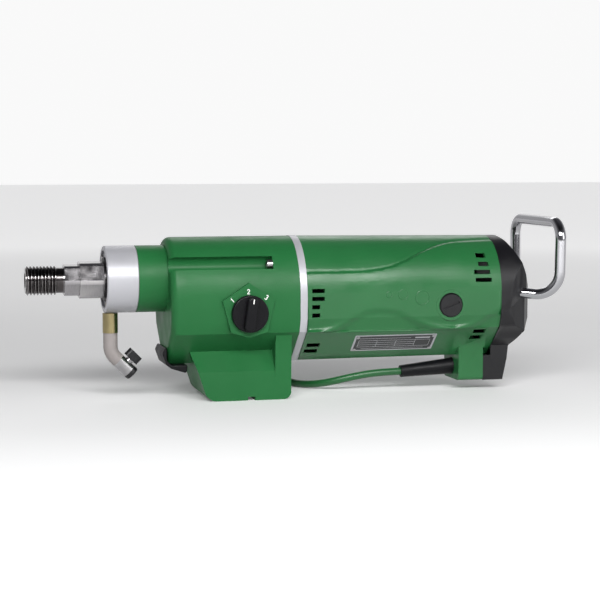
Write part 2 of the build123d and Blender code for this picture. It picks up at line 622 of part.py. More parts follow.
with BuildPart() as gear_shaft_bearings:
    inner = SMALL_JOURNAL_R + RUN
    bearing(BOX_FRONT + 3, SMALL_BEARING_WIDE, SMALL_BEARING_R, inner, SHIFT_AXIS)
    bearing(BOX_REAR + 1.5, SMALL_BEARING_WIDE - 1, SMALL_BEARING_R - 1.5, inner, SHIFT_AXIS)
    bearing(PLATE_X + PLATE_LONG - 6.5, SMALL_BEARING_WIDE, SMALL_BEARING_R, inner, LAY_AXIS)
    bearing(BOX_REAR + 0.5, SMALL_BEARING_WIDE, SMALL_BEARING_R, inner, LAY_AXIS)
save(gear_shaft_bearings, "gear_shaft_bearings")

# ================================================================ gear selector
with BuildPart() as selector_shaft:
    disc_y = -BODY_HALF + BOX_WALL + GAP
    post((KNOB_X, disc_y, KNOB_Z), (0, 1, 0), DISC_THICK, DISC_R)
    post((KNOB_X, KNOB_PAD_Y - 6, KNOB_Z), (0, 1, 0), disc_y - KNOB_PAD_Y + 6, SELECTOR_R)
    post((KNOB_X, disc_y, KNOB_Z + ECCENTRIC), (0, 1, 0), DISC_THICK + 6, CRANK_PIN_R)
save(selector_shaft, "selector_shaft")

with BuildPart() as selector_knob:
    with BuildSketch(from_side(KNOB_PAD_Y - GAP)):
        with Locations((KNOB_X, KNOB_Z)):
            Circle(KNOB_R)
    extrude(amount=6)
    fillet(selector_knob.edges().group_by(Axis.Y)[0], 1.5)
    with BuildSketch(from_side(KNOB_PAD_Y - GAP)):
        with Locations((KNOB_X, KNOB_Z)):
            SlotOverall(2 * KNOB_R - 2.4, 12, rotation=82)
    extrude(amount=KNOB_HIGH)
    fillet(selector_knob.edges().group_by(Axis.Y)[0], 2.0)
    post((KNOB_X, KNOB_PAD_Y, KNOB_Z), (0, -1, 0), 6.1, SELECTOR_R + 0.01, Mode.SUBTRACT)
    post((KNOB_X, KNOB_PAD_Y + 1, KNOB_Z), (0, -1, 0), 2, SELECTOR_R + 0.01, Mode.SUBTRACT)
save(selector_knob, "selector_knob")

# ================================================================ intermediate flange
with BuildPart() as intermediate_flange:
    with BuildSketch(across_x(BOX_REAR)):
        body_outline(0.4)
    extrude(amount=BAND_LONG)
    tube(BAND_REAR, MOTOR_BEARING_WIDE + 1, MOTOR_BEARING_R + 5, MOTOR_BEARING_R + 0.01, MOTOR_AXIS)
    tube(BOX_REAR, BAND_LONG, MOTOR_SHAFT_R + GAP, 0, MOTOR_AXIS, Mode.SUBTRACT)
    tube(BOX_REAR, 5.5, 11.01, 0, MOTOR_AXIS, Mode.SUBTRACT)
    tube(BOX_REAR, BAND_LONG - 0.5, SMALL_BEARING_R - 1.49, 0, SHIFT_AXIS, Mode.SUBTRACT)
    tube(BOX_REAR, BAND_LONG - 0.5, SMALL_BEARING_R + 0.01, 0, LAY_AXIS, Mode.SUBTRACT)
    tube(BOX_REAR, 5, FORK_ROD_R + 0.01, 0, FORK_ROD_AXIS, Mode.SUBTRACT)
    for side in (-1, 1):
        at = (side * CHANNEL_Y, CHANNEL_Z)
        tube(BOX_REAR, BAND_LONG, SCREW_R + GAP, 0, at, Mode.SUBTRACT)
    for at in ((22, 162), (-22, 162), (0, 48)):
        tube(BOX_REAR, BAND_LONG, 2.8, 0, at, Mode.SUBTRACT)
        tube(BAND_REAR - 4, 4, 4.6, 0, at, Mode.SUBTRACT)
save(intermediate_flange, "intermediate_flange")

with BuildPart() as flange_screws:
    for at in ((22, 162), (-22, 162), (0, 48)):
        tube(BAND_REAR - 3.8, 3.5, 4.3, 0, at)
        tube(BOX_REAR - 11, BAND_REAR - 3.8 - BOX_REAR + 11, 2.45, 0, at)
save(flange_screws, "flange_screws")

with BuildPart() as housing_screws:
    for side in (-1, 1):
        at = (side * CHANNEL_Y, CHANNEL_Z)
        tube(CHANNEL_END - SCREW_HEAD_LONG, SCREW_HEAD_LONG, SCREW_HEAD_R, 0, at)
        tube(CHANNEL_END, HOUSING_SCREW_LONG, SCREW_R, 0, at)
        with BuildSketch(across_x(CHANNEL_END - SCREW_HEAD_LONG, at)):
            RegularPolygon(2.5, 6, major_radius=False)
        extrude(amount=3, mode=Mode.SUBTRACT)
save(housing_screws, "housing_screws")

# ================================================================ water supply
with BuildPart() as water_nipple:
    post((NIPPLE_X, 0, SPINDLE_Z - NECK_R - 0.3), (0, 0, 1), 11.0, 4.9)
    post((NIPPLE_X, 0, 73.0), (0, 0, 1), SPINDLE_Z - NECK_R - 0.3 - 73.0, 8.3)
    post((NIPPLE_X, 0, 73.0), (0, 0, 1), 40.0, 3.0, Mode.SUBTRACT)
save(water_nipple, "water_nipple")

HOSE_R = 7.75
HOSE_END = Vector(-138.5, 0, 42.5)
VALVE_WAY = Vector(1, 0, -1).normalized()
STEM_WAY = Vector(1, 0, 1).normalized()
VALVE_LONG = 17.0
VALVE_MID = HOSE_END + VALVE_WAY * VALVE_LONG / 2

with BuildPart() as water_hose:
    with BuildLine():
        route = FilletPolyline((NIPPLE_X, 0, 73.0), (NIPPLE_X, 0, 51.0), tuple(HOSE_END), radius=18.0)
    with BuildSketch(Plane(origin=route @ 0, z_dir=route % 0)):
        Circle(HOSE_R)
        Circle(3.5, mode=Mode.SUBTRACT)
    sweep()
save(water_hose, "water_hose")

with BuildPart() as valve_body:
    post(tuple(HOSE_END), tuple(VALVE_WAY), VALVE_LONG, 7.6)
    post(tuple(VALVE_MID), tuple(STEM_WAY), 9.5, 4.5)
    post(tuple(HOSE_END), tuple(VALVE_WAY), VALVE_LONG, 3.0, Mode.SUBTRACT)
    post(tuple(VALVE_MID), tuple(STEM_WAY), 10, 2.5 + RUN, Mode.SUBTRACT)
    with BuildSketch(Plane(origin=tuple(VALVE_MID), x_dir=tuple(VALVE_WAY), z_dir=(0, -1, 0))):
        Circle(5.0 + RUN)
        with Locations((0, 0)):
            Rectangle(20, 10, align=(Align.CENTER, Align.MIN), mode=Mode.SUBTRACT)
    revolve(axis=Axis(tuple(VALVE_MID), tuple(VALVE_WAY)), mode=Mode.SUBTRACT)
save(valve_body, "valve_body")

with BuildPart() as valve_lever:
    stem = Plane(origin=tuple(VALVE_MID), x_dir=tuple(VALVE_WAY), z_dir=tuple(STEM_WAY))
    with BuildSketch(Plane(origin=tuple(VALVE_MID), x_dir=tuple(VALVE_WAY), z_dir=(0, -1, 0))):
        Circle(5.0)
        with Locations((0, 0)):
            Rectangle(20, 10, align=(Align.CENTER, Align.MIN), mode=Mode.SUBTRACT)
    revolve(axis=Axis(tuple(VALVE_MID), tuple(VALVE_WAY)))
    post(tuple(VALVE_MID), tuple(STEM_WAY), 12, 2.5)
    with BuildSketch(stem.offset(9.5 + GAP)):
        SlotOverall(18, 9)
    extrude(amount=9)
    post(tuple(VALVE_MID - VALVE_WAY * 6), tuple(VALVE_WAY), 12, 3.0, Mode.SUBTRACT)
save(valve_lever, "valve_lever")

with BuildPart() as hose_coupling:
    post(tuple(HOSE_END + VALVE_WAY * VALVE_LONG), tuple(VALVE_WAY), 5.0, 7.9)
    valve_axis = Axis(tuple(HOSE_END), tuple(VALVE_WAY))
    fillet(hose_coupling.edges().filter_by(GeomType.CIRCLE).sort_by(valve_axis)[-1], 1.5)
    post(tuple(HOSE_END + VALVE_WAY * VALVE_LONG), tuple(VALVE_WAY), 6.0, 4.5, Mode.SUBTRACT)
save(hose_coupling, "hose_coupling")

# ================================================================ motor housing
BRUSH_Z = MOTOR_Z
FACET_OUT = Vector(0, -(KINK_Z - KEEL_Z), -(KINK_Y - KEEL_Y)).normalized()
PLATE_MID_X, PLATE_LENGTH, PLATE_HIGH, PLATE_THICK = 163.5, 94.0, 30.0, 1.0


def facet_plane(x, share):
    """Plane on the control side's lower facet, at a share of its height, facing outwards."""
    keel = KEEL_Z + (REAR_KEEL - KEEL_Z) * (x - BAND_REAR) / MOTOR_LONG
    at = (x, -KEEL_Y - (KINK_Y - KEEL_Y) * share, keel + (KINK_Z - keel) * share)
    return Plane(origin=at, x_dir=(1, 0, 0), z_dir=tuple(FACET_OUT))


NAMEPLATE_FACE = facet_plane(PLATE_MID_X, 0.54)

with BuildPart() as motor_housing:
    with BuildSketch(across_x(BAND_REAR)):
        body_outline()
    with BuildSketch(across_x(MOTOR_REAR)):
        body_outline(0, REAR_TOP, REAR_KEEL)
    loft(ruled=True)
    with BuildSketch(across_x(REAR_FOOT_FRONT)):
        with Locations((0, REAR_FOOT_Z)):
            Rectangle(2 * REAR_FOOT_HALF, 40, align=(Align.CENTER, Align.MIN))
    extrude(amount=REAR_FOOT_SPLIT - REAR_FOOT_FRONT)
    foot_edges = motor_housing.edges().filter_by(Axis.X).group_by(Axis.Z)[0]
    fillet(foot_edges, 4.0)
    # hollow shell
    with BuildSketch(across_x(BAND_REAR - 1)):
        body_outline(-SHELL_WALL)
    with BuildSketch(across_x(MOTOR_REAR + 1)):
        body_outline(-SHELL_WALL, REAR_TOP, REAR_KEEL)
    loft(ruled=True, mode=Mode.SUBTRACT)
    with BuildSketch(across_x(REAR_FOOT_FRONT + 4)):
        with Locations((0, REAR_FOOT_Z + SHELL_WALL)):
            Rectangle(2 * REAR_FOOT_HALF - 2 * SHELL_WALL, 34, align=(Align.CENTER, Align.MIN))
    extrude(amount=REAR_FOOT_SPLIT - REAR_FOOT_FRONT, mode=Mode.SUBTRACT)
    # screw bosses at the front
    with BuildSketch(across_x(BAND_REAR)):
        body_outline(-0.6)
        with Locations((CHANNEL_Y, CHANNEL_Z), (-CHANNEL_Y, CHANNEL_Z)):
            Circle(6.5, mode=Mode.INTERSECT)
    extrude(amount=19)
    for side in (-1, 1):
        tube(BAND_REAR, 18, SCREW_R + 0.02, 0, (side * CHANNEL_Y, CHANNEL_Z), Mode.SUBTRACT)
    # rear bearing bridge with air openings
    with BuildSketch(across_x(REAR_BRIDGE_X)):
        body_outline(-1.0, REAR_TOP, REAR_KEEL)
        with Locations(MOTOR_AXIS):
            with PolarLocations(36, 6, 30):
                Circle(9, mode=Mode.SUBTRACT)
            Circle(MOTOR_SHAFT_R + 2, mode=Mode.SUBTRACT)
    extrude(amount=REAR_BRIDGE_LONG)
    tube(REAR_BRIDGE_X, MOTOR_BEARING_WIDE, MOTOR_BEARING_R + 0.01, 0, MOTOR_AXIS, Mode.SUBTRACT)
    # brush bosses
    for side in (-1, 1):
        inward = (0, -side, 0)
        post((BRUSH_X, side * (BODY_HALF + 0.3), BRUSH_Z), inward, 13, BRUSH_RING_R)
        post((BRUSH_X, side * (BODY_HALF + 0.4), BRUSH_Z), inward, 2.6, BRUSH_CAP_R + GAP, Mode.SUBTRACT)
        post((BRUSH_X, side * (BODY_HALF + 1), BRUSH_Z), inward, 16, 10.3, Mode.SUBTRACT)
    # cooling slots through both sides, as (x, long, z): fan end, then brush end
    front, rear = BAND_REAR + 5, MOTOR_REAR - 29
    for x, long, z in (
        (front, 14, 118.5), (front, 14, 110), (front, 9, 101), (front, 9, 92),
        (front, 15, 57), (front - 1, 15, 49.5),
        (rear + 3, 11, 153), (rear + 4, 12, 144), (rear - 2, 19, 135.5), (rear - 1, 19, 127),
        (rear, 14, 69), (rear - 1, 13, 61.5),
    ):
        reach = 44 if z > 60 else 56
        for side in (-1, 1):
            with BuildSketch(from_side(side * 70)):
                with Locations((x + long / 2, z)):
                    Rectangle(long, VENT_HIGH)
            extrude(amount=side * reach, mode=Mode.SUBTRACT)
    # nameplate recess and cord entry
    with BuildSketch(NAMEPLATE_FACE.offset(2)):
        Rectangle(PLATE_LENGTH + 2 * SEAT, PLATE_HIGH + 2 * SEAT)
    extrude(amount=-(PLATE_THICK + 1.8), mode=Mode.SUBTRACT)
    tube(REAR_FOOT_FRONT - 1, 8, 9.6, 0, (0, BOOT_Z), Mode.SUBTRACT)
save(motor_housing, "motor_housing")

with BuildPart() as nameplate:
    with BuildSketch(NAMEPLATE_FACE.offset(-(PLATE_THICK - 0.25))):
        RectangleRounded(PLATE_LENGTH, PLATE_HIGH, 1.5)
        with GridLocations(PLATE_LENGTH - 7, PLATE_HIGH - 7, 2, 2):
            Circle(1.0, mode=Mode.SUBTRACT)
    extrude(amount=PLATE_THICK)
save(nameplate, "nameplate")

with BuildPart() as nameplate_rivets:
    with BuildSketch(NAMEPLATE_FACE.offset(0.25)):
        with GridLocations(PLATE_LENGTH - 7, PLATE_HIGH - 7, 2, 2):
            Circle(1.9)
    extrude(amount=0.8)
    with BuildSketch(NAMEPLATE_FACE.offset(-(PLATE_THICK - 0.3))):
        with GridLocations(PLATE_LENGTH - 7, PLATE_HIGH - 7, 2, 2):
            Circle(0.95)
    extrude(amount=PLATE_THICK)
save(nameplate_rivets, "nameplate_rivets")

# ================================================================ armature
SHAFT_REAR = REAR_BRIDGE_X + MOTOR_BEARING_WIDE + 2
with BuildPart() as armature_shaft:
    pinion_root = INPUT_MODULE * ARMATURE_TEETH / 2 - 1.2 * INPUT_MODULE
    turn(
        [
            (INPUT_GEAR_X - 1, 0), (INPUT_GEAR_X - 1, pinion_root), (BOX_REAR - 0.5, pinion_root),
            (BOX_REAR - 0.5, MOTOR_SHAFT_R), (STATOR_FRONT - 24, MOTOR_SHAFT_R),
            (STATOR_FRONT - 24, 9), (REAR_BRIDGE_X - 4, 9), (REAR_BRIDGE_X - 4, MOTOR_SHAFT_R),
            (SHAFT_REAR, MOTOR_SHAFT_R), (SHAFT_REAR, 0),
        ],
        MOTOR_AXIS,
    )
    gear(
        INPUT_GEAR_X - 1, INPUT_GEAR_WIDE + 2, ARMATURE_TEETH, INPUT_MODULE, MOTOR_AXIS,
        gap_facing(MOTOR_AXIS, LAY_AXIS, ARMATURE_TEETH),
    )
save(armature_shaft, "armature_shaft")

SLOTS = 12
with BuildPart() as armature_core:
    with BuildSketch(across_x(STATOR_FRONT - 1, MOTOR_AXIS)):
        Circle(CORE_R)
        with PolarLocations(CORE_R - 4.5, SLOTS):
            Rectangle(7, 4, mode=Mode.SUBTRACT)
        with PolarLocations(CORE_R, SLOTS):
            Rectangle(4, 1.6, mode=Mode.SUBTRACT)
        Circle(9, mode=Mode.SUBTRACT)
    extrude(amount=STATOR_LONG + 2)
save(armature_core, "armature_core")

with BuildPart() as armature_windings:
    for start, way in ((STATOR_FRONT - 1.1, -1), (STATOR_FRONT + STATOR_LONG + 1.1, 1)):
        turn(
            [
                (start, 9.05), (start, 24), (start + way * 6, 24), (start + way * 11, 20),
                (start + way * 13, 9.05),
            ],
            MOTOR_AXIS,
        )
save(armature_windings, "armature_windings")

with BuildPart() as commutator:
    x = BRUSH_X - COMMUTATOR_LONG / 2
    turn(
        [
            (x, 9.02), (x, COMMUTATOR_R + 2), (x + 3, COMMUTATOR_R + 2), (x + 3, COMMUTATOR_R),
            (x + COMMUTATOR_LONG, COMMUTATOR_R), (x + COMMUTATOR_LONG, 9.02),
        ],
        MOTOR_AXIS,
    )
save(commutator, "commutator")

with BuildPart() as fan:
    tube(FAN_X + FAN_WIDE - 2.5, 2.5, FAN_R, 0, MOTOR_AXIS)
    tube(FAN_X, FAN_WIDE, 12, 0, MOTOR_AXIS)
    with BuildSketch(across_x(FAN_X, MOTOR_AXIS)):
        with PolarLocations(26, 9):
            Rectangle(30, 2.2, rotation=28)
    extrude(amount=FAN_WIDE - 1)
    tube(FAN_X - 1, FAN_WIDE + 2, MOTOR_SHAFT_R + 0.01, 0, MOTOR_AXIS, Mode.SUBTRACT)
save(fan, "fan")

for name, x in (("front_motor_bearing", BAND_REAR + 0.5), ("rear_motor_bearing", REAR_BRIDGE_X)):
    with BuildPart() as motor_bearing:
        bearing(x, MOTOR_BEARING_WIDE, MOTOR_BEARING_R, MOTOR_SHAFT_R + RUN, MOTOR_AXIS)
    save(motor_bearing, name)

with BuildPart() as motor_seal:
    tube(BOX_REAR + 0.2, 5.0, 11.0, MOTOR_SHAFT_R + RUN, MOTOR_AXIS)
save(motor_seal, "motor_seal")

# ================================================================ stator
WINDOW_R, WINDOW_X, WINDOW_Y = 32.5, 10.0, 9.0
with BuildPart() as stator_core:
    with BuildSketch(across_x(STATOR_FRONT, MOTOR_AXIS)):
        Circle(STATOR_R)
        Circle(STATOR_BORE_R, mode=Mode.SUBTRACT)
        with PolarLocations(WINDOW_R, 4, 45):
            Rectangle(WINDOW_X, WINDOW_Y, mode=Mode.SUBTRACT)
    extrude(amount=STATOR_LONG)
save(stator_core, "stator_core")

with BuildPart() as field_windings:
    with BuildSketch(across_x(STATOR_FRONT - 10, MOTOR_AXIS)):
        with PolarLocations(WINDOW_R, 4, 45):
            Rectangle(WINDOW_X - 1, WINDOW_Y - 1)
    extrude(amount=STATOR_LONG + 20)
    for start in (STATOR_FRONT - 10, STATOR_FRONT + STATOR_LONG + 1):
        with BuildSketch(across_x(start, MOTOR_AXIS)):
            Circle(WINDOW_R + 4)
            Circle(WINDOW_R - 3.5, mode=Mode.SUBTRACT)
            for side in (-1, 1):
                with Locations((side * 36, 0)):
                    Rectangle(26, 2 * 18, mode=Mode.SUBTRACT)
        extrude(amount=9)
save(field_windings, "field_windings")

with BuildPart() as fan_baffle:
    with BuildSketch(across_x(FAN_X + FAN_WIDE + 2)):
        body_outline(-SHELL_WALL - 0.7)
        with Locations(MOTOR_AXIS):
            Circle(34, mode=Mode.SUBTRACT)
    extrude(amount=3)
save(fan_baffle, "fan_baffle")

# ================================================================ brushes
HOLDER_IN, HOLDER_OUT = COMMUTATOR_R + 3.5, 46.0
BRUSH_OUT = 38.0


def brush_box(side, near, far, wide, high):
    """Block along Y on the brush line, from near to far measured out from the mid-plane."""
    with BuildSketch(from_side(side * near)) as block:
        with Locations((BRUSH_X, BRUSH_Z)):
            Rectangle(wide, high)
    extrude(block.sketch, amount=-side * (far - near))


with BuildPart() as brush_holders:
    for side in (-1, 1):
        brush_box(side, HOLDER_IN, HOLDER_OUT - 0.5, BRUSH_X_WIDE + 3, BRUSH_Z_HIGH + 3)
    with BuildSketch(from_side(-60)):
        with Locations((BRUSH_X, BRUSH_Z)):
            Rectangle(BRUSH_X_WIDE + 0.3, BRUSH_Z_HIGH + 0.3)
    extrude(amount=-120, mode=Mode.SUBTRACT)
save(brush_holders, "brush_holders")

with BuildPart() as carbon_brushes:
    for side in (-1, 1):
        brush_box(side, COMMUTATOR_R + 0.35, BRUSH_OUT, BRUSH_X_WIDE, BRUSH_Z_HIGH)
save(carbon_brushes, "carbon_brushes")

with BuildPart() as brush_springs:
    for side in (-1, 1):
        post((BRUSH_X, side * BRUSH_OUT, BRUSH_Z), (0, side, 0), HOLDER_OUT + 1.4 - BRUSH_OUT, 3.2)
        post((BRUSH_X, side * BRUSH_OUT, BRUSH_Z), (0, side, 0), 12, 2.2, Mode.SUBTRACT)
save(brush_springs, "brush_springs")

with BuildPart() as brush_caps:
    for side in (-1, 1):
        post((BRUSH_X, side * (HOLDER_OUT + 1.5), BRUSH_Z), (0, side, 0), BODY_HALF - HOLDER_OUT - 2, 10.0)
        post((BRUSH_X, side * (BODY_HALF - 2.2), BRUSH_Z), (0, side, 0), 4.2, BRUSH_CAP_R)
    rims = brush_caps.edges().filter_by(GeomType.CIRCLE)
    chamfer([e for e in rims if abs(abs(e.center().Y) - BODY_HALF - 2) < 0.1], 1.2)
    for side in (-1, 1):
        with BuildSketch(from_side(side * (BODY_HALF + 2.1))):
            with Locations((BRUSH_X, BRUSH_Z)):
                Rectangle(20, 2.4, rotation=20)
        extrude(amount=side * 1.6, mode=Mode.SUBTRACT)
save(brush_caps, "brush_caps")

# ================================================================ rear cap
BUTTON_X, BUTTON_Z, BUTTON_R = MOTOR_REAR + 20.0, 26.5, 6.0


def cap_form(inset):
    """Outer form of the rear cap with its foot, or the hollow inside it when inset."""
    front = MOTOR_REAR - 2 * inset
    foot_front = REAR_FOOT_SPLIT - 2 * inset
    with BuildPart() as form:
        with BuildSketch(across_x(foot_front)):
            body_outline(-inset, REAR_TOP, REAR_KEEL)
            with Locations((0, REAR_FOOT_Z + inset)):
                Rectangle(2 * (REAR_FOOT_HALF - inset), 60, align=(Align.CENTER, Align.MIN))
        extrude(amount=60)
        with BuildSketch(from_side(0)):
            Polygon(
                (front, 180), (MOTOR_REAR + 10, 176), (MOTOR_REAR + 16, 168.5), (MOTOR_REAR + 23, 155),
                (MOTOR_REAR + 32, 136), (MOTOR_REAR + 40, 116), (MOTOR_REAR + 48, 95),
                (MOTOR_REAR + 46, 84), (MOTOR_REAR + 33, 66), (MOTOR_REAR + 21, 49),
                (MOTOR_REAR + 19.5, 35), (MOTOR_REAR + 14.5, REAR_FOOT_Z),
                (foot_front, REAR_FOOT_Z), (foot_front, REAR_KEEL - 0.3), (front, REAR_KEEL - 0.3),
                align=None,
            )
            if inset:
                offset(amount=-inset)
        extrude(amount=70, both=True, mode=Mode.INTERSECT)
        with BuildSketch(Plane.XY):
            Polygon(
                (foot_front, -62), (front + 4, -62), (MOTOR_REAR + 16, -57), (MOTOR_REAR + 34, -46),
                (MOTOR_REAR + 44, -30), (MOTOR_REAR + 48, 0), (MOTOR_REAR + 44, 30),
                (MOTOR_REAR + 34, 46), (MOTOR_REAR + 16, 57), (front + 4, 62), (foot_front, 62),
                align=None,
            )
            if inset:
                offset(amount=-inset)
        extrude(amount=200, mode=Mode.INTERSECT)
    return form.part


LEG_IN = Vector(MOTOR_REAR + 19, 38, HANDLE_LOW + 3.5)
LEG_BEND = Vector(HANDLE_X, HANDLE_Y - 3, HANDLE_LOW - 1)
LEG_TOP = Vector(HANDLE_X, HANDLE_Y, HANDLE_TOP)


def mirrored(point):
    """The same point on the control side."""
    return (point.X, -point.Y, point.Z)


with BuildPart() as rear_cap:
    add(cap_form(0))
    add(cap_form(CAP_WALL), mode=Mode.SUBTRACT)
    leg_way = LEG_BEND - LEG_IN
    for at, way in ((tuple(LEG_IN), tuple(leg_way)), (mirrored(LEG_IN), mirrored(leg_way))):
        post(at, way, 30, HANDLE_R + 0.15, Mode.SUBTRACT)
    tube(BUTTON_X - 16, 20, BUTTON_R + 0.35, 0, (0, BUTTON_Z), Mode.SUBTRACT)
save(rear_cap, "rear_cap")

with BuildPart() as bail_handle:
    with BuildLine():
        bail = FilletPolyline(
            tuple(LEG_IN), tuple(LEG_BEND), tuple(LEG_TOP),
            mirrored(LEG_TOP), mirrored(LEG_BEND), mirrored(LEG_IN),
            radius=(26, 19, 19, 26),
        )
    with BuildSketch(Plane(origin=bail @ 0, z_dir=bail % 0)):
        Circle(HANDLE_R)
    sweep()
save(bail_handle, "bail_handle")

with BuildPart() as handle_lugs:
    for at in (tuple(LEG_IN), mirrored(LEG_IN)):
        with BuildSketch(across_x(MOTOR_REAR + 4, (at[1], at[2]))):
            Circle(8)
        extrude(amount=at[0] - MOTOR_REAR - 10)
save(handle_lugs, "handle_lugs")

with BuildPart() as electronics_module:
    with BuildSketch(across_x(MOTOR_REAR + 1)):
        with Locations((0, 112)):
            RectangleRounded(52, 66, 3)
    extrude(amount=15)
save(electronics_module, "electronics_module")

with BuildPart() as switch_body:
    with BuildSketch(across_x(BUTTON_X - 25, (0, BUTTON_Z))):
        Rectangle(22, 16)
    extrude(amount=13)
    tube(BUTTON_X - 16, 5, BUTTON_R - 3 + 0.3, 0, (0, BUTTON_Z), Mode.SUBTRACT)
save(switch_body, "switch_body")

with BuildPart() as switch_button:
    tube(BUTTON_X - 8, 8, BUTTON_R, 0, (0, BUTTON_Z))
    fillet(switch_button.edges().filter_by(GeomType.CIRCLE).sort_by(Axis.X)[-1], 2.0)
    tube(BUTTON_X - 11.5, 4, BUTTON_R - 3, 0, (0, BUTTON_Z))
save(switch_button, "switch_button")

# ================================================================ cord
BOOT_TIP = Vector(REAR_FOOT_FRONT - BOOT_LONG, 0, 20.6)
BOOT_BASE = Vector(REAR_FOOT_FRONT + 4, 0, BOOT_Z)
CORD_ROUTE = [
    tuple(BOOT_TIP), (154, 0, 20.2), (125, 3, 15.5), (98, 14, 8), (78, 35, CORD_R), (66, 62, CORD_R),
    (69.9, 98, CORD_R),
]


def cord_radii(points, share=0.45):
    """Radius at each corner: a share of the shorter run over the tangent of half the turn."""
    radii = []
    for before, corner, after in zip(points, points[1:], points[2:]):
        first, second = Vector(*corner) - Vector(*before), Vector(*after) - Vector(*corner)
        half_turn = math.radians(first.get_angle(second)) / 2
        radii.append(share * min(first.length, second.length) / math.tan(half_turn))
    return radii


CORD_RADII = cord_radii(CORD_ROUTE)
print("cord radii:", [round(radius, 1) for radius in CORD_RADII])

with BuildPart() as cord_boot:
    boot_way = tuple(BOOT_TIP - BOOT_BASE)
    boot_long = (BOOT_TIP - BOOT_BASE).length
    base_plane = Plane(origin=tuple(BOOT_BASE), z_dir=boot_way)
    with BuildSketch(base_plane):
        Circle(9.4)
    with BuildSketch(base_plane.offset(boot_long)):
        Circle(6.8)
    loft()
    tube(REAR_FOOT_FRONT + 4.1, 3.5, 11.0, 0, (0, BOOT_Z))
save(cord_boot, "cord_boot")

with BuildPart() as cord_clamp:
    with BuildSketch(across_x(REAR_FOOT_FRONT + 9)):
        with Locations((0, BOOT_Z)):
            RectangleRounded(30, 18, 2)
            Circle(CORD_R, mode=Mode.SUBTRACT)
    extrude(amount=9)
save(cord_clamp, "cord_clamp")

with BuildPart() as cord:
    with BuildLine():
        route = FilletPolyline(*CORD_ROUTE, radius=CORD_RADII)
    with BuildSketch(Plane(origin=route @ 0, z_dir=route % 0)):
        Circle(CORD_R)
    sweep()
tube_volume = math.pi * CORD_R**2 * route.length
print("cord tube: volume over section x length", round(cord.part.volume / tube_volume, 4))
save(cord, "cord")

with BuildPart() as cord_coil:
    with BuildSketch(Plane.XY):
        with Locations((COIL_X, COIL_Y)):
            Circle(COIL_MID_R + 2 * CORD_R)
            Circle(COIL_MID_R - 2 * CORD_R, mode=Mode.SUBTRACT)
    extrude(amount=COIL_LAYERS * 2 * CORD_R)
save(cord_coil, "cord_coil")

PLUG_R, PLUG_LONG = 17.0, 38.0
PLUG_Y = COIL_Y + COIL_MID_R
PLUG_Z = COIL_LAYERS * 2 * CORD_R + PLUG_R + 0.05
with BuildPart() as mains_plug:
    turn(
        [
            (COIL_X + PLUG_LONG / 2, 0), (COIL_X + PLUG_LONG / 2, 7), (COIL_X + 4, PLUG_R - 3),
            (COIL_X, PLUG_R), (COIL_X - PLUG_LONG / 2, PLUG_R), (COIL_X - PLUG_LONG / 2, 0),
        ],
        (PLUG_Y, PLUG_Z),
    )
save(mains_plug, "mains_plug")

PIN_LONG = 19.0
with BuildPart() as plug_pins:
    for side in (-1, 1):
        tube(COIL_X - PLUG_LONG / 2 - PIN_LONG, PIN_LONG, 2.4, 0, (PLUG_Y + side * 9.5, PLUG_Z))
    fillet(plug_pins.edges().group_by(Axis.X)[0], 1.0)
save(plug_pins, "plug_pins")
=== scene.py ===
import json
import math

import bmesh
import bpy
from mathutils import Matrix, Vector


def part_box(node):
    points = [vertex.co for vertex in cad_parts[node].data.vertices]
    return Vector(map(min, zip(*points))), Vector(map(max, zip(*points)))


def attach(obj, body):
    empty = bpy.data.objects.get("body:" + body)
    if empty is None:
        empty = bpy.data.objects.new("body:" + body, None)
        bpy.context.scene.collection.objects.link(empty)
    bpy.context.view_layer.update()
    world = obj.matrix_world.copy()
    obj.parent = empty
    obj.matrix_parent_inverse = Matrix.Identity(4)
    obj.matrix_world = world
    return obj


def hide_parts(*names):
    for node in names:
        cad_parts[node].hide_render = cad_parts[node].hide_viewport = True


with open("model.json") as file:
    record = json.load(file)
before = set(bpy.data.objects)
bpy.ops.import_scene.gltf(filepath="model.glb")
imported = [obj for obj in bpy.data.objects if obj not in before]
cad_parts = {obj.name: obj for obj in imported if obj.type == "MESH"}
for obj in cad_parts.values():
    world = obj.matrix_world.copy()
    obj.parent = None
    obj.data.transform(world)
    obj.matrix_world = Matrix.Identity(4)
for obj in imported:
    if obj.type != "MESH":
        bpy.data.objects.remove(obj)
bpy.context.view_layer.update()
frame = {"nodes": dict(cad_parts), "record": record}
nodes = frame["nodes"]
scene = bpy.context.scene
MM = 0.001

# ---------------------------------------------------------------- camera
AIM = Vector((0.065, 0.0, 0.104))
CAMERA_AZIMUTH, CAMERA_ELEVATION = math.radians(-14), math.radians(5)
CAMERA_DISTANCE = 1.892
away = Vector((
    math.sin(CAMERA_AZIMUTH) * math.cos(CAMERA_ELEVATION),
    -math.cos(CAMERA_AZIMUTH) * math.cos(CAMERA_ELEVATION),
    math.sin(CAMERA_ELEVATION),
))
camera_data = bpy.data.cameras.new("camera")
camera_data.lens, camera_data.sensor_width = 102.0, 36.0
camera = bpy.data.objects.new("camera", camera_data)
camera.location = AIM + CAMERA_DISTANCE * away
camera.rotation_euler = away.to_track_quat("Z", "Y").to_euler()
scene.collection.objects.link(camera)
scene.camera = camera
scene.view_settings.view_transform = "Standard"


# ---------------------------------------------------------------- materials
BUMP_DEEP = 0.4 * MM
# Mix node sockets for colours: first, second and result
FIRST, SECOND, RESULT = 6, 7, 2


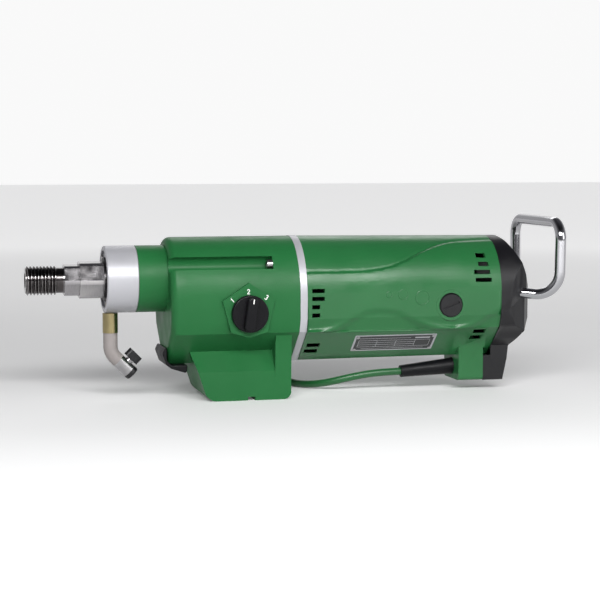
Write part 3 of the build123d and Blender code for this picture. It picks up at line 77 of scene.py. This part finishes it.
def shader(name, color, roughness, metallic=0.0, coat=0.0, specular=0.5):
    """A new material with its Principled shader's plain sockets set."""
    material = bpy.data.materials.new(name)
    material.use_nodes = True
    tree = material.node_tree
    bsdf = tree.nodes["Principled BSDF"]
    bsdf.inputs["Base Color"].default_value = (*color, 1)
    bsdf.inputs["Roughness"].default_value = roughness
    bsdf.inputs["Metallic"].default_value = metallic
    bsdf.inputs["Coat Weight"].default_value = coat
    bsdf.inputs["Coat Roughness"].default_value = 0.15
    bsdf.inputs["Specular IOR Level"].default_value = specular
    return material, tree, bsdf


def noise(tree, scale, detail=2.0, stretch=(1, 1, 1)):
    """Noise in object space, as a socket from 0 to 1."""
    where = tree.nodes.new("ShaderNodeTexCoord")
    mapping = tree.nodes.new("ShaderNodeMapping")
    mapping.inputs["Scale"].default_value = stretch
    texture = tree.nodes.new("ShaderNodeTexNoise")
    texture.inputs["Scale"].default_value = scale
    texture.inputs["Detail"].default_value = detail
    tree.links.new(where.outputs["Object"], mapping.inputs["Vector"])
    tree.links.new(mapping.outputs["Vector"], texture.inputs["Vector"])
    return texture.outputs["Fac"]


def spread(tree, value, low, high, start=0.3, end=0.7):
    """Maps a 0 to 1 socket to a range."""
    node = tree.nodes.new("ShaderNodeMapRange")
    node.inputs["From Min"].default_value, node.inputs["From Max"].default_value = start, end
    node.inputs["To Min"].default_value, node.inputs["To Max"].default_value = low, high
    tree.links.new(value, node.inputs["Value"])
    return node.outputs["Result"]


def between(tree, value, first, second):
    """Mixes two colours by a socket."""
    node = tree.nodes.new("ShaderNodeMix")
    node.data_type = "RGBA"
    tree.links.new(value, node.inputs["Factor"])
    for socket, color in ((FIRST, first), (SECOND, second)):
        if isinstance(color, tuple):
            node.inputs[socket].default_value = (*color, 1)
        else:
            tree.links.new(color, node.inputs[socket])
    return node.outputs[RESULT]


def surface(name, color, roughness, metallic=0.0, coat=0.0, grain=0.1, grain_scale=900.0,
            stretch=(1, 1, 1), mottle=0.12, wear=0.0, wear_color=(0.5, 0.5, 0.5), specular=0.5):
    """A finish with mottled colour, uneven gloss, fine surface grain and, if asked, rubbed edges."""
    material, tree, bsdf = shader(name, color, roughness, metallic, coat, specular)
    dark = tuple(c * (1 - mottle) for c in color)
    light = tuple(min(1.0, c * (1 + mottle)) for c in color)
    tint = between(tree, spread(tree, noise(tree, 14.0, 4.0), 0, 1), dark, light)
    if wear:
        geometry = tree.nodes.new("ShaderNodeNewGeometry")
        edge = spread(tree, geometry.outputs["Pointiness"], 0, wear, 0.53, 0.60)
        patchy = tree.nodes.new("ShaderNodeMath")
        patchy.operation = "MULTIPLY"
        tree.links.new(edge, patchy.inputs[0])
        tree.links.new(spread(tree, noise(tree, 120.0, 3.0), 0, 1, 0.4, 0.6), patchy.inputs[1])
        tint = between(tree, patchy.outputs[0], tint, wear_color)
    tree.links.new(tint, bsdf.inputs["Base Color"])
    gloss = spread(tree, noise(tree, 45.0, 3.0), roughness * 0.85, min(1.0, roughness * 1.18))
    tree.links.new(gloss, bsdf.inputs["Roughness"])
    bump = tree.nodes.new("ShaderNodeBump")
    bump.inputs["Strength"].default_value = grain
    bump.inputs["Distance"].default_value = BUMP_DEEP
    tree.links.new(noise(tree, grain_scale, 3.0, stretch), bump.inputs["Height"])
    tree.links.new(bump.outputs["Normal"], bsdf.inputs["Normal"])
    return material


GREEN = (0.0125, 0.108, 0.030)
finishes = {
    "green_enamel": surface("green_enamel", GREEN, 0.42, grain=0.10, grain_scale=420, mottle=0.06,
                            specular=0.20),
    "green_plastic": surface("green_plastic", GREEN, 0.33, grain=0.08, grain_scale=1500, mottle=0.06,
                             specular=0.5),
    "black_plastic": surface("black_plastic", (0.0040, 0.0038, 0.0052), 0.36, grain=0.12,
                             grain_scale=1600, specular=0.42),
    "bare_aluminium": surface("bare_aluminium", (0.40, 0.40, 0.425), 0.40, 0.30, grain=0.10,
                              grain_scale=300, stretch=(6, 1, 1), mottle=0.05),
    "steel": surface("steel", (0.36, 0.35, 0.36), 0.28, 1.0, grain=0.14, grain_scale=260,
                     stretch=(10, 1, 1), wear=0.4),
    "dark_steel": surface("dark_steel", (0.10, 0.095, 0.10), 0.32, 1.0, grain=0.14, grain_scale=260,
                          stretch=(10, 1, 1), wear=0.8, wear_color=(0.6, 0.58, 0.58)),
    "chrome": surface("chrome", (0.46, 0.46, 0.48), 0.06, 1.0, grain=0.02, grain_scale=200, mottle=0.03),
    "brass": surface("brass", (0.34, 0.285, 0.15), 0.30, 1.0, grain=0.12, grain_scale=260, mottle=0.15),
    "copper": surface("copper", (0.55, 0.22, 0.09), 0.35, 0.9, coat=0.5, grain=0.9, grain_scale=500,
                      stretch=(0.2, 3, 3), mottle=0.2),
    "rubber": surface("rubber", (0.0035, 0.0035, 0.0045), 0.42, grain=0.2, grain_scale=1200, specular=0.2),
    "hose": surface("hose", (0.235, 0.212, 0.205), 0.55, grain=0.35, grain_scale=700, stretch=(1, 1, 0.3),
                    mottle=0.2),
    "cord": surface("cord", (0.010, 0.085, 0.022), 0.36, grain=0.15, grain_scale=1100),
    "carbon": surface("carbon", (0.02, 0.02, 0.02), 0.6, grain=0.3, grain_scale=900),
}
slot_of = {part["node"]: part["material_slot"] for part in frame["record"]["subparts"]}
for name, node in nodes.items():
    for material_slot in node.material_slots:
        material_slot.material = finishes[slot_of[name]]
white_paint = surface("white_paint", (0.85, 0.85, 0.83), 0.5, grain=0.1, mottle=0.05)
plate_black = surface("plate_black", (0.018, 0.018, 0.021), 0.35, grain=0.15, grain_scale=1200)
plate_silver = surface("plate_silver", (0.50, 0.50, 0.52), 0.35, 0.7, grain=0.1, grain_scale=500)


THREAD_END = -0.1975


def spindle_finish():
    """Black oxide on the thread, ground steel on the spanner flats behind it."""
    material, tree, bsdf = shader("spindle_finish", (0.2, 0.2, 0.2), 0.3, 1.0)
    where = tree.nodes.new("ShaderNodeTexCoord")
    axes = tree.nodes.new("ShaderNodeSeparateXYZ")
    tree.links.new(where.outputs["Object"], axes.inputs[0])
    behind = spread(tree, axes.outputs["X"], 0, 1, THREAD_END - MM, THREAD_END + MM)
    stain = between(tree, spread(tree, noise(tree, 60.0, 4.0), 0, 1), (0.055, 0.050, 0.050),
                    (0.11, 0.10, 0.10))
    ground = between(tree, spread(tree, noise(tree, 180.0, 4.0, (8, 1, 1)), 0, 1), (0.30, 0.29, 0.30),
                     (0.38, 0.37, 0.38))
    body = between(tree, behind, stain, ground)
    geometry = tree.nodes.new("ShaderNodeNewGeometry")
    edge = spread(tree, geometry.outputs["Pointiness"], 0, 0.8, 0.52, 0.60)
    tree.links.new(between(tree, edge, body, (0.55, 0.53, 0.53)), bsdf.inputs["Base Color"])
    tree.links.new(spread(tree, noise(tree, 90.0, 3.0), 0.13, 0.26), bsdf.inputs["Roughness"])
    return material


for material_slot in nodes["drill_spindle"].material_slots:
    material_slot.material = spindle_finish()


# ---------------------------------------------------------------- pieces
def placed(name, mesh, body, slot=None, material=None, replaced=()):
    """Links a mesh as a piece that rides on a body."""
    piece = bpy.data.objects.new(name, mesh)
    scene.collection.objects.link(piece)
    if not mesh.materials:
        mesh.materials.append(material or finishes[slot])
    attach(piece, body)
    if replaced:
        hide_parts(*replaced)
    return piece


JOINED_WITHIN, FLAT_WITHIN = 0.002 * MM, math.radians(0.4)


def closed_mesh(node):
    """The node's mesh with its split corners joined and its flat areas made whole."""
    form = bmesh.new()
    form.from_mesh(nodes[node].data)
    bmesh.ops.remove_doubles(form, verts=form.verts, dist=JOINED_WITHIN)
    bmesh.ops.dissolve_limit(form, angle_limit=FLAT_WITHIN, verts=form.verts, edges=form.edges)
    return form


def rounded(form, width, angle=28, skip=None):
    """Rounds a form's sharp edges, apart from those that skip() chooses."""
    sharp = [
        edge for edge in form.edges
        if len(edge.link_faces) == 2 and edge.calc_face_angle(0) > math.radians(angle)
        and not (skip and skip(edge))
    ]
    bmesh.ops.bevel(form, geom=sharp, offset=width, offset_type="OFFSET", segments=2, profile=0.5,
                    affect="EDGES", clamp_overlap=True)


def finished(form, name, smooth_angle=32):
    """Turns a form into a smooth shaded mesh with its sharp edges kept."""
    mesh = bpy.data.meshes.new(name)
    bmesh.ops.recalc_face_normals(form, faces=form.faces)
    form.to_mesh(mesh)
    form.free()
    mesh.shade_smooth()
    mesh.set_sharp_from_angle(angle=math.radians(smooth_angle))
    return mesh


def shell(name, form, node, slot, body="housing", material=None, smooth_angle=40):
    """Places a form over its CAD node, with wide faces kept flat next to their rounded edges."""
    piece = placed(name, finished(form, name, smooth_angle), body, slot, material, replaced=[node])
    normals = piece.modifiers.new("face normals", "WEIGHTED_NORMAL")
    normals.weight, normals.keep_sharp = 100, True


def cutting_planes(across, level):
    """Planes as (point, normal) across X and level in Z, at places in mm."""
    return [(Vector((x * MM, 0, 0)), Vector((1, 0, 0))) for x in across] \
        + [(Vector((0, 0, z * MM)), Vector((0, 0, 1))) for z in level]


def sliced(form, keep, planes):
    """Cuts the faces that keep() chooses along planes given as (point, normal)."""
    for point, normal in planes:
        faces = [face for face in form.faces if keep(face)]
        edges = {edge for face in faces for edge in face.edges}
        verts = {vert for face in faces for vert in face.verts}
        bmesh.ops.bisect_plane(form, geom=list(verts) + list(edges) + faces, dist=1e-6,
                               plane_co=point, plane_no=normal)


def soft_step(value):
    """Goes smoothly from 0 to 1 as value does."""
    value = min(1.0, max(0.0, value))
    return value * value * (3 - 2 * value)


def along(points, x):
    """Height at x of straight runs through (x, z) points."""
    if x <= points[0][0]:
        return points[0][1]
    for (x0, z0), (x1, z1) in zip(points, points[1:]):
        if x <= x1:
            return z0 + (z1 - z0) * (x - x0) / (x1 - x0)
    return points[-1][1]


# ---------------------------------------------------------------- mains cord
CORD_R = 0.00425
ROUTE = [
    (0.182, 0, 0.0206), (0.154, 0, 0.0202), (0.125, 0.003, 0.0155), (0.098, 0.014, 0.008),
    (0.078, 0.035, CORD_R), (0.066, 0.062, CORD_R), (0.0699, 0.098, CORD_R),
]
COIL_MIDDLE = Vector((0.025, 0.118, 0))
COIL_OUT, COIL_IN, COIL_TOP = 0.0476, 0.0389, 0.0433
POINTS_A_TURN = 16
FIRST_ANGLE = -4.0
CROSS_FROM, CROSS_TO = 60.0, 200.0
CLIMB_SWELL = 0.0042
LAYER = 2 * CORD_R
# place of each turn as (radius, layer)
TURNS = [
    (COIL_OUT, 0), (COIL_IN, 0), (COIL_IN, 1), (COIL_OUT, 1), (COIL_OUT, 2), (COIL_IN, 2),
    (COIL_IN, 3), (COIL_OUT, 3), (COIL_OUT, 4), (COIL_IN, 4), (COIL_TOP, 5),
]
PLUG_BACK = Vector((0.044, 0.1605, 0.05955))


def coil_points():
    """Turns that lie beside and on each other, each crossing to the next place on the far side."""
    points = []
    for turn, (here, after) in enumerate(zip(TURNS, TURNS[1:])):
        for step in range(POINTS_A_TURN):
            angle = FIRST_ANGLE + 360 * step / POINTS_A_TURN
            moved = soft_step((angle - CROSS_FROM) / (CROSS_TO - CROSS_FROM))
            radius = here[0] + (after[0] - here[0]) * moved
            if here[0] == after[0]:
                swell = CLIMB_SWELL * math.sin(math.pi * moved)
                radius += swell if here[0] == COIL_OUT else -swell
            height = CORD_R + LAYER * (here[1] + (after[1] - here[1]) * moved)
            turned = math.radians(angle)
            around = Vector((radius * math.cos(turned), radius * math.sin(turned), height))
            points.append(COIL_MIDDLE + around)
    return points


COIL_HIGH = CORD_R + TURNS[-1][1] * LAYER
lead = [
    (0.0683, 0.116, COIL_HIGH), (0.0672, 0.134, COIL_HIGH + 0.001), (0.0615, 0.150, COIL_HIGH + 0.0055),
    (0.0540, 0.1590, PLUG_BACK.z - 0.0015), (0.0480, 0.1605, PLUG_BACK.z), tuple(PLUG_BACK),
]
cord_points = ROUTE + [tuple(point) for point in coil_points()] + lead
cord_curve = bpy.data.curves.new("cord_sheath", "CURVE")
cord_curve.dimensions = "3D"
cord_curve.bevel_depth = CORD_R
cord_curve.bevel_resolution = 5
cord_curve.use_fill_caps = True
spline = cord_curve.splines.new("NURBS")
spline.points.add(len(cord_points) - 1)
for point, at in zip(spline.points, cord_points):
    point.co = (*at, 1)
spline.order_u = 3
spline.use_endpoint_u = True
spline.resolution_u = 6
cord_curve.materials.append(finishes["cord"])
cord_piece = bpy.data.objects.new("cord_sheath", cord_curve)
scene.collection.objects.link(cord_piece)
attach(cord_piece, "housing")
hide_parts("cord", "cord_coil")

# ---------------------------------------------------------------- motor housing, in mm
MOTOR_FRONT, MOTOR_REAR = 59.0, 281.0
# half width and height at the CAD section's corners, then the dome over them
KEEL_HALF, KEEL = 12.0, 38.5
KNEE_HALF, KNEE = 54.0, 74.0
BODY_HALF, WAIST = 58.7, 88.0
DOME_BASE, DOME_TOP, DOME_FALL = 112.0, 176.0, 2.0
# the raised shoulder's lower edge, and the crest of the scoop under it
UPPER_LINE = [
    (60, 139.0), (90, 139.0), (122, 139.3), (143, 141.4), (155, 143.9), (165, 146.8), (173, 149.8),
    (180, 152.9), (190, 157.2), (201, 161.0), (210, 163.8), (219, 166.0), (231, 167.8), (243, 168.8),
    (266, 169.6), (281, 169.8),
]
LOWER_LINE = [
    (60, 74.0), (80, 75.6), (87, 77.3), (94, 79.8), (101, 83.3), (108, 87.3), (114.5, 91.3), (121, 94.7),
    (128, 96.9), (135, 97.9), (142, 98.0), (148, 97.4), (155, 96.5), (162, 94.9), (169, 91.8), (176, 87.9),
    (187, 83.2), (197, 79.4), (209, 76.5), (220, 75.4), (231, 75.5), (241, 77.1), (250, 80.2),
    (258, 84.2), (268, 89.4), (281, 95.6),
]


SHOULDER_FRONT, SHOULDER_RISE, SHOULDER_FALL = 0.9, 1.5, 2.0
EDGE_WIDE = 2.6
GROOVE_DEEP, GROOVE_HALF = 0.55, 1.7
SCOOP_SLOPE, SCOOP_DEEP = 0.52, 3.1
TUCK_SLOPE, TUCK_IN, TUCK_OUT = 0.85, 2.6, 4.6
ON_SIDE_WITHIN = 0.9
EVEN_BELOW = 0.104


def motor_half(x, z):
    """Half width and outward direction (y, z) of the motor housing's CAD section."""
    top = DOME_TOP - DOME_FALL * (x - MOTOR_FRONT) / (MOTOR_REAR - MOTOR_FRONT)
    if z >= DOME_BASE:
        rise = min(0.999, (z - DOME_BASE) / (top - DOME_BASE))
        half = BODY_HALF * math.sqrt(1 - rise * rise)
        out = Vector((half / BODY_HALF**2, (z - DOME_BASE) / (top - DOME_BASE) ** 2)).normalized()
        return half, out
    if z >= WAIST:
        return BODY_HALF, Vector((1, 0))
    if z >= KNEE:
        return KNEE_HALF + (BODY_HALF - KNEE_HALF) * (z - KNEE) / (WAIST - KNEE), Vector((1, 0))
    return KEEL_HALF + (KNEE_HALF - KEEL_HALF) * (z - KEEL) / (KNEE - KEEL), Vector((1, 0))


def motor_shift(vert):
    """How far a point moves to raise the shoulder and to scoop the side; none off the side."""
    x, y, z = vert.co.x / MM, abs(vert.co.y) / MM, vert.co.z / MM
    half, out = motor_half(x, z)
    if abs(y - half) > ON_SIDE_WITHIN or not MOTOR_FRONT - 1 < x < MOTOR_REAR + 1:
        return None
    shift = Vector((0, 0))
    edge = along(UPPER_LINE, x)
    below = edge - z
    if -2.2 < below < 50:
        height = SHOULDER_FRONT + SHOULDER_RISE * soft_step((x - 110) / 80) \
            - SHOULDER_FALL * soft_step((x - 225) / 50)
        fade = 1 - soft_step((below - 5) / (edge - DOME_BASE + 2))
        groove = -GROOVE_DEEP * max(0.0, 1 - abs(below + 0.3) / GROOVE_HALF)
        shift += out * (height * soft_step(below / EDGE_WIDE) * fade + groove)
    crest = along(LOWER_LINE, x)
    if 66 < z < crest + 1:
        under = max(0.0, crest - z)
        if crest > WAIST:
            shift.x -= min(SCOOP_SLOPE * under, SCOOP_DEEP) * soft_step((z - 68) / 8)
        else:
            wanted = BODY_HALF - TUCK_SLOPE * under
            ease = soft_step((z - 67) / 7) * soft_step((crest - 70) / 4)
            shift.x += max(-TUCK_IN, min(TUCK_OUT, wanted - half)) * ease
    return shift


def on_motor_side(face):
    center = face.calc_center_median() / MM
    half, _ = motor_half(center.x, center.z)
    outward = face.normal.y * center.y > 0 and abs(face.normal.x) < 0.3
    return 64 < center.z < 175 and outward and abs(abs(center.y) - half) < 2.5


def evened(shifts):
    """The low points' shifts averaged with their neighbours'."""
    result = {}
    for vert, shift in shifts.items():
        around = [shifts[edge.other_vert(vert)] for edge in vert.link_edges
                  if edge.other_vert(vert) in shifts]
        low = vert.co.z < EVEN_BELOW and len(around) > 2
        result[vert] = (shift + sum(around, Vector((0, 0)))) / (1 + len(around)) if low else shift
    return result


motor = closed_mesh("motor_housing")
rounded(motor, 0.5 * MM, skip=lambda edge: all(abs(vert.co.y) < 0.048 for vert in edge.verts))
levels = [66 + 1.5 * n for n in range(24)] + [*range(104, 133, 4), 134.5] \
    + [136 + 1.2 * n for n in range(31)]
sliced(motor, on_motor_side, cutting_planes(range(62, 281, 3), levels))
shifts = {vert: shift for vert in motor.verts if (shift := motor_shift(vert)) is not None}
for vert, shift in evened(evened(shifts)).items():
    vert.co.y += math.copysign(1, vert.co.y) * shift.x * MM
    vert.co.z += shift.y * MM
shell("motor_shell", motor, "motor_housing", "green_plastic")

# ---------------------------------------------------------------- other castings and mouldings
def in_keyway(edge):
    """Edges of the rig keyway, which stay sharp because the key seats against them."""
    return any(vert.co.z < 0.02 and abs(vert.co.x) < 0.006 for vert in edge.verts)


for node, width, slot in (
    ("gearbox_housing", 0.9, "green_enamel"), ("intermediate_flange", 0.5, "bare_aluminium"),
    ("water_ring", 0.5, "bare_aluminium"), ("front_bumper", 1.0, "rubber"),
):
    form = closed_mesh(node)
    rounded(form, width * MM, skip=in_keyway)
    shell(node + "_shell", form, node, slot)

# the cap's slanting ridge as (x, z), and how it leans in below it, in mm
CAP_FRONT = 280.4
RIDGE = [(CAP_FRONT, 95.5), (309.8, 117.2), (330.0, 120.0)]
LEAN_SLOPE, LEAN_MOST = 0.38, 4.6


def on_cap_side(face):
    center = face.calc_center_median() / MM
    return center.x > 280.5 and 56 < center.z < 122 and face.normal.y * center.y > 0 \
        and abs(face.normal.y) > 0.25 and abs(center.y) > 18


def shape_cap(vert):
    """Leans the cap's side inwards below its slanting ridge."""
    x, z = vert.co.x / MM, vert.co.z / MM
    under = along(RIDGE, x) - z
    if x < CAP_FRONT or under <= 0:
        return
    lean = min(LEAN_SLOPE * under, LEAN_MOST) * soft_step((z - 56) / 14) \
        * soft_step((x - CAP_FRONT) / 2.5)
    vert.co.y -= math.copysign(lean * MM, vert.co.y)


cap = closed_mesh("rear_cap")
sliced(cap, on_cap_side, cutting_planes(range(282, 330, 3), range(58, 122, 2)))
side_verts = {vert for face in cap.faces if on_cap_side(face) for vert in face.verts}
for vert in side_verts:
    shape_cap(vert)
rounded(cap, 0.8 * MM, 24)
shell("cap_shell", cap, "rear_cap", "black_plastic", smooth_angle=36)

KNOB_MIDDLE, KNOB_FACE = Vector((-0.006, 0, 0.096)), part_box("selector_knob")[0][1]
# the knob's face is this much lower than in the CAD, so that its pointer stays inside the CAD box
MARK_HIGH = 0.25 * MM
knob = closed_mesh("selector_knob")
for vert in knob.verts:
    if vert.co.y < KNOB_FACE + MM:
        vert.co.y += MARK_HIGH
rounded(knob, 0.5 * MM, 30)
knob_black = surface("knob_black", (0.004, 0.004, 0.0052), 0.34, grain=0.08, grain_scale=1600,
                     specular=0.16)
shell("knob_shell", knob, "selector_knob", "black_plastic", "selector", knob_black)


# ---------------------------------------------------------------- marks
STROKE_ROOT = 0.3 * MM


def skin(form, loops):
    """Joins each loop of points to the next with quads."""
    for first, second in zip(loops, loops[1:]):
        for n in range(len(first)):
            after = (n + 1) % len(first)
            form.faces.new((first[n], first[after], second[after], second[n]))


def ribbon(form, points, width, high, frame_at):
    """Adds a raised stroke that follows (u, v) points; frame_at maps (u, v, height) to the model."""
    left, right = [], []
    for index, point in enumerate(points):
        before = points[max(index - 1, 0)]
        after = points[min(index + 1, len(points) - 1)]
        ways = [(Vector(point) - Vector(before)), (Vector(after) - Vector(point))]
        ways = [way.normalized() for way in ways if way.length]
        way = sum(ways, Vector((0, 0))).normalized()
        side = Vector((-way.y, way.x)) * width / 2 / max(0.5, way.dot(ways[0]))
        left.append(Vector(point) + side)
        right.append(Vector(point) - side)
    rings = []
    for a, b in zip(left, right):
        rings.append([form.verts.new(frame_at(p.x, p.y, level)) for p, level in
                      ((a, -STROKE_ROOT), (b, -STROKE_ROOT), (b, high), (a, high))])
    skin(form, rings)
    form.faces.new(rings[0][::-1])
    form.faces.new(rings[-1])


def marks(name, strokes, frame_at, body, material):
    """A piece of raised strokes, each given as (points, width, height)."""
    form = bmesh.new()
    for points, width, high in strokes:
        ribbon(form, points, width, high, frame_at)
    placed(name, finished(form, name), body, material=material)


# strokes of each numeral as (u, v), for a height of 1
DIGITS = {
    "one": [[(-0.2, 0.28), (0.02, 0.5), (0.02, -0.5)]],
    "two": [[(-0.26, 0.26), (-0.18, 0.43), (0.0, 0.5), (0.18, 0.42), (0.25, 0.25), (0.17, 0.06),
             (-0.27, -0.47), (0.28, -0.47)]],
    "three": [[(-0.24, 0.38), (-0.06, 0.5), (0.14, 0.46), (0.23, 0.30), (0.18, 0.11), (-0.02, 0.03)],
              [(-0.02, 0.03), (0.20, -0.05), (0.27, -0.24), (0.18, -0.43), (-0.04, -0.5),
               (-0.26, -0.38)]],
}
PAD_FACE, DIGIT_HIGH, DIGIT_STROKE = -0.062, 4.8 * MM, 0.75 * MM
# place (x, z) in mm and turn in degrees of each numeral round the knob
DIAL = {"one": (-24.4, 110.6, 38), "two": (-7.0, 119.6, 0), "three": (12.6, 113.2, -35)}


def on_pad(x, z, turned):
    """Maps strokes to the knob's pad, turned about their own middle."""
    turn = Matrix.Rotation(math.radians(turned), 2)

    def at(u, v, level):
        u, v = turn @ Vector((u, v))
        return Vector((x * MM + u, PAD_FACE - level, z * MM + v))

    return at


for name, place in DIAL.items():
    marks("dial_" + name, [([(u * DIGIT_HIGH, v * DIGIT_HIGH) for u, v in stroke], DIGIT_STROKE, 0.15 * MM)
                           for stroke in DIGITS[name]], on_pad(*place), "housing", white_paint)

POINTER_TURN = math.radians(82)
POINTER_WAY = Vector((math.cos(POINTER_TURN), math.sin(POINTER_TURN)))
POINTER_FROM, POINTER_TO = 11.5 * MM, 16.5 * MM


def on_knob(u, v, level):
    return Vector((KNOB_MIDDLE.x + u, KNOB_FACE + MARK_HIGH - level, KNOB_MIDDLE.z + v))


marks("knob_pointer", [([tuple(POINTER_WAY * POINTER_FROM), tuple(POINTER_WAY * POINTER_TO)], 1.1 * MM,
                        MARK_HIGH * 0.6)], on_knob, "selector", white_paint)

# printed field of the nameplate, with blank ruled rows
PLATE_OUT, PLATE_UP = Vector((0, -0.6455, -0.7637)), Vector((0, -0.7637, 0.6455))
FIELD_HIGH, RULE_HIGH = 0.08 * MM, 0.13 * MM
FIELD_HALF, FIELD_TALL = 0.0448, 0.0262
# each row as (height, start, end)
ROWS = (
    (0.0088, -0.041, 0.018), (0.0048, -0.041, 0.041), (0.0008, -0.041, 0.024), (-0.0032, -0.041, 0.024),
    (-0.0072, -0.041, 0.041), (-0.0106, -0.036, 0.036),
)
COLUMNS = (-0.041, -0.020, 0.002, 0.024, 0.041)
plate_low, plate_high = (Vector(corner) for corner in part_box("nameplate"))
plate_face = (plate_low + plate_high) / 2 + PLATE_OUT * 0.5 * MM


def on_plate(u, v, level):
    return plate_face + Vector((u, 0, 0)) + PLATE_UP * v + PLATE_OUT * level


marks("plate_field", [([(-FIELD_HALF, 0), (FIELD_HALF, 0)], FIELD_TALL, FIELD_HIGH)], on_plate, "housing",
      plate_black)
rules = [([(start, v), (end, v)], 0.45 * MM, RULE_HIGH) for v, start, end in ROWS]
rules += [([(u, -0.0072), (u, 0.0048)], 0.35 * MM, RULE_HIGH) for u in COLUMNS]
rules += [([(0.023, 0.0088), (0.040, 0.0088)], 2.2 * MM, RULE_HIGH)]
marks("plate_ruling", rules, on_plate, "housing", plate_silver)

# three raised rings in front of the brush cap, on both sides, as (x, z, radius) in mm
RINGS = ((151, 113, 3.3), (167, 113, 5.5), (189, 109, 7.7))
SIDE_FACE = -0.0586
RING_HALF, RING_HIGH = 0.8 * MM, 0.65 * MM
STEPS_AROUND, STEPS_ACROSS = 48, 8


def ring(x, z, radius, side):
    """A closed tube that lies on one side of the motor."""
    form = bmesh.new()
    loops = []
    for step in range(STEPS_AROUND):
        around = math.tau * step / STEPS_AROUND
        loop = []
        for part in range(STEPS_ACROSS):
            across = math.tau * part / STEPS_ACROSS
            reach = radius * MM + RING_HALF * math.cos(across)
            loop.append(form.verts.new((x * MM + reach * math.cos(around),
                                        side * (SIDE_FACE - RING_HIGH * math.sin(across)),
                                        z * MM + reach * math.sin(around))))
        loops.append(loop)
    skin(form, loops + loops[:1])
    return form


for side, side_name in ((1, "near"), (-1, "far")):
    for index, place in enumerate(RINGS):
        name = f"raised_ring_{index + 1}_{side_name}"
        placed(name, finished(ring(*place, side), name, 180), "housing", "green_plastic")

# ---------------------------------------------------------------- stage and light
floor_mesh = bpy.data.meshes.new("floor")
FLOOR = 12.0
corners = [(-FLOOR, -FLOOR, 0), (FLOOR, -FLOOR, 0), (FLOOR, FLOOR, 0), (-FLOOR, FLOOR, 0)]
floor_mesh.from_pydata(corners, [], [(0, 1, 2, 3)])
floor_material, floor_tree, floor_bsdf = shader("floor", (0.76, 0.76, 0.76), 0.8, specular=0.2)
place = floor_tree.nodes.new("ShaderNodeTexCoord")
reach = floor_tree.nodes.new("ShaderNodeVectorMath")
reach.operation = "LENGTH"
floor_tree.links.new(place.outputs["Object"], reach.inputs[0])
floor_bsdf.inputs["Emission Color"].default_value = (1, 1, 1, 1)
floor_tree.links.new(spread(floor_tree, reach.outputs["Value"], 0.10, 0.62, 0.5, 3.0),
                     floor_bsdf.inputs["Emission Strength"])
floor_mesh.materials.append(floor_material)
floor = bpy.data.objects.new("floor", floor_mesh)
scene.collection.objects.link(floor)


def ramp(tree, value, stops):
    """A colour ramp over a 0 to 1 socket, from two or more (place, colour) stops."""
    node = tree.nodes.new("ShaderNodeValToRGB")
    elements = node.color_ramp.elements
    for index, (at, color) in enumerate(stops):
        element = elements[index] if index < 2 else elements.new(at)
        element.position, element.color = at, (*color, 1)
    tree.links.new(value, node.inputs["Fac"])
    return node.outputs["Color"]


def multiplied(tree, first, second):
    """The product of two colour sockets."""
    node = tree.nodes.new("ShaderNodeMix")
    node.data_type, node.blend_type = "RGBA", "MULTIPLY"
    node.inputs["Factor"].default_value = 1.0
    tree.links.new(first, node.inputs[FIRST])
    tree.links.new(second, node.inputs[SECOND])
    return node.outputs[RESULT]


WHITE = (1, 1, 1)
world = bpy.data.worlds.new("world")
scene.world = world
world.use_nodes = True
sky = world.node_tree
background = sky.nodes["Background"]
where = sky.nodes.new("ShaderNodeTexCoord")
axes = sky.nodes.new("ShaderNodeSeparateXYZ")
sky.links.new(where.outputs["Generated"], axes.inputs[0])
# pale at the horizon and dark overhead, darker at both ends and in front of the object
upward = ramp(sky, axes.outputs["Z"], [(0.30, WHITE), (0.75, (0.10, 0.10, 0.11))])
flank = ramp(sky, spread(sky, axes.outputs["X"], 0, 1, -1, 1), [
    (0.42, (0.52, 0.52, 0.53)), (0.52, WHITE), (0.80, WHITE), (0.95, (0.55, 0.55, 0.56)),
])
facing = ramp(sky, spread(sky, axes.outputs["Y"], 0, 1, 1, -1), [(0.40, WHITE), (0.70, (0.32, 0.32, 0.33))])
sky.links.new(multiplied(sky, multiplied(sky, upward, flank), facing), background.inputs["Color"])
background.inputs["Strength"].default_value = 0.95


def softbox(name, at, wide, high, power):
    """Area light that faces the object."""
    light = bpy.data.lights.new(name, "AREA")
    light.shape = "RECTANGLE"
    light.size, light.size_y, light.energy = wide, high, power
    lamp = bpy.data.objects.new(name, light)
    lamp.location = at
    lamp.rotation_euler = (Vector(at) - AIM).to_track_quat("Z", "Y").to_euler()
    scene.collection.objects.link(lamp)


softbox("key", (-0.2, -1.7, 1.1), 1.8, 0.45, 52)
softbox("fill", (1.5, -1.3, 0.6), 0.8, 0.8, 9)
softbox("back", (0.4, 1.6, 1.2), 1.2, 0.6, 4)
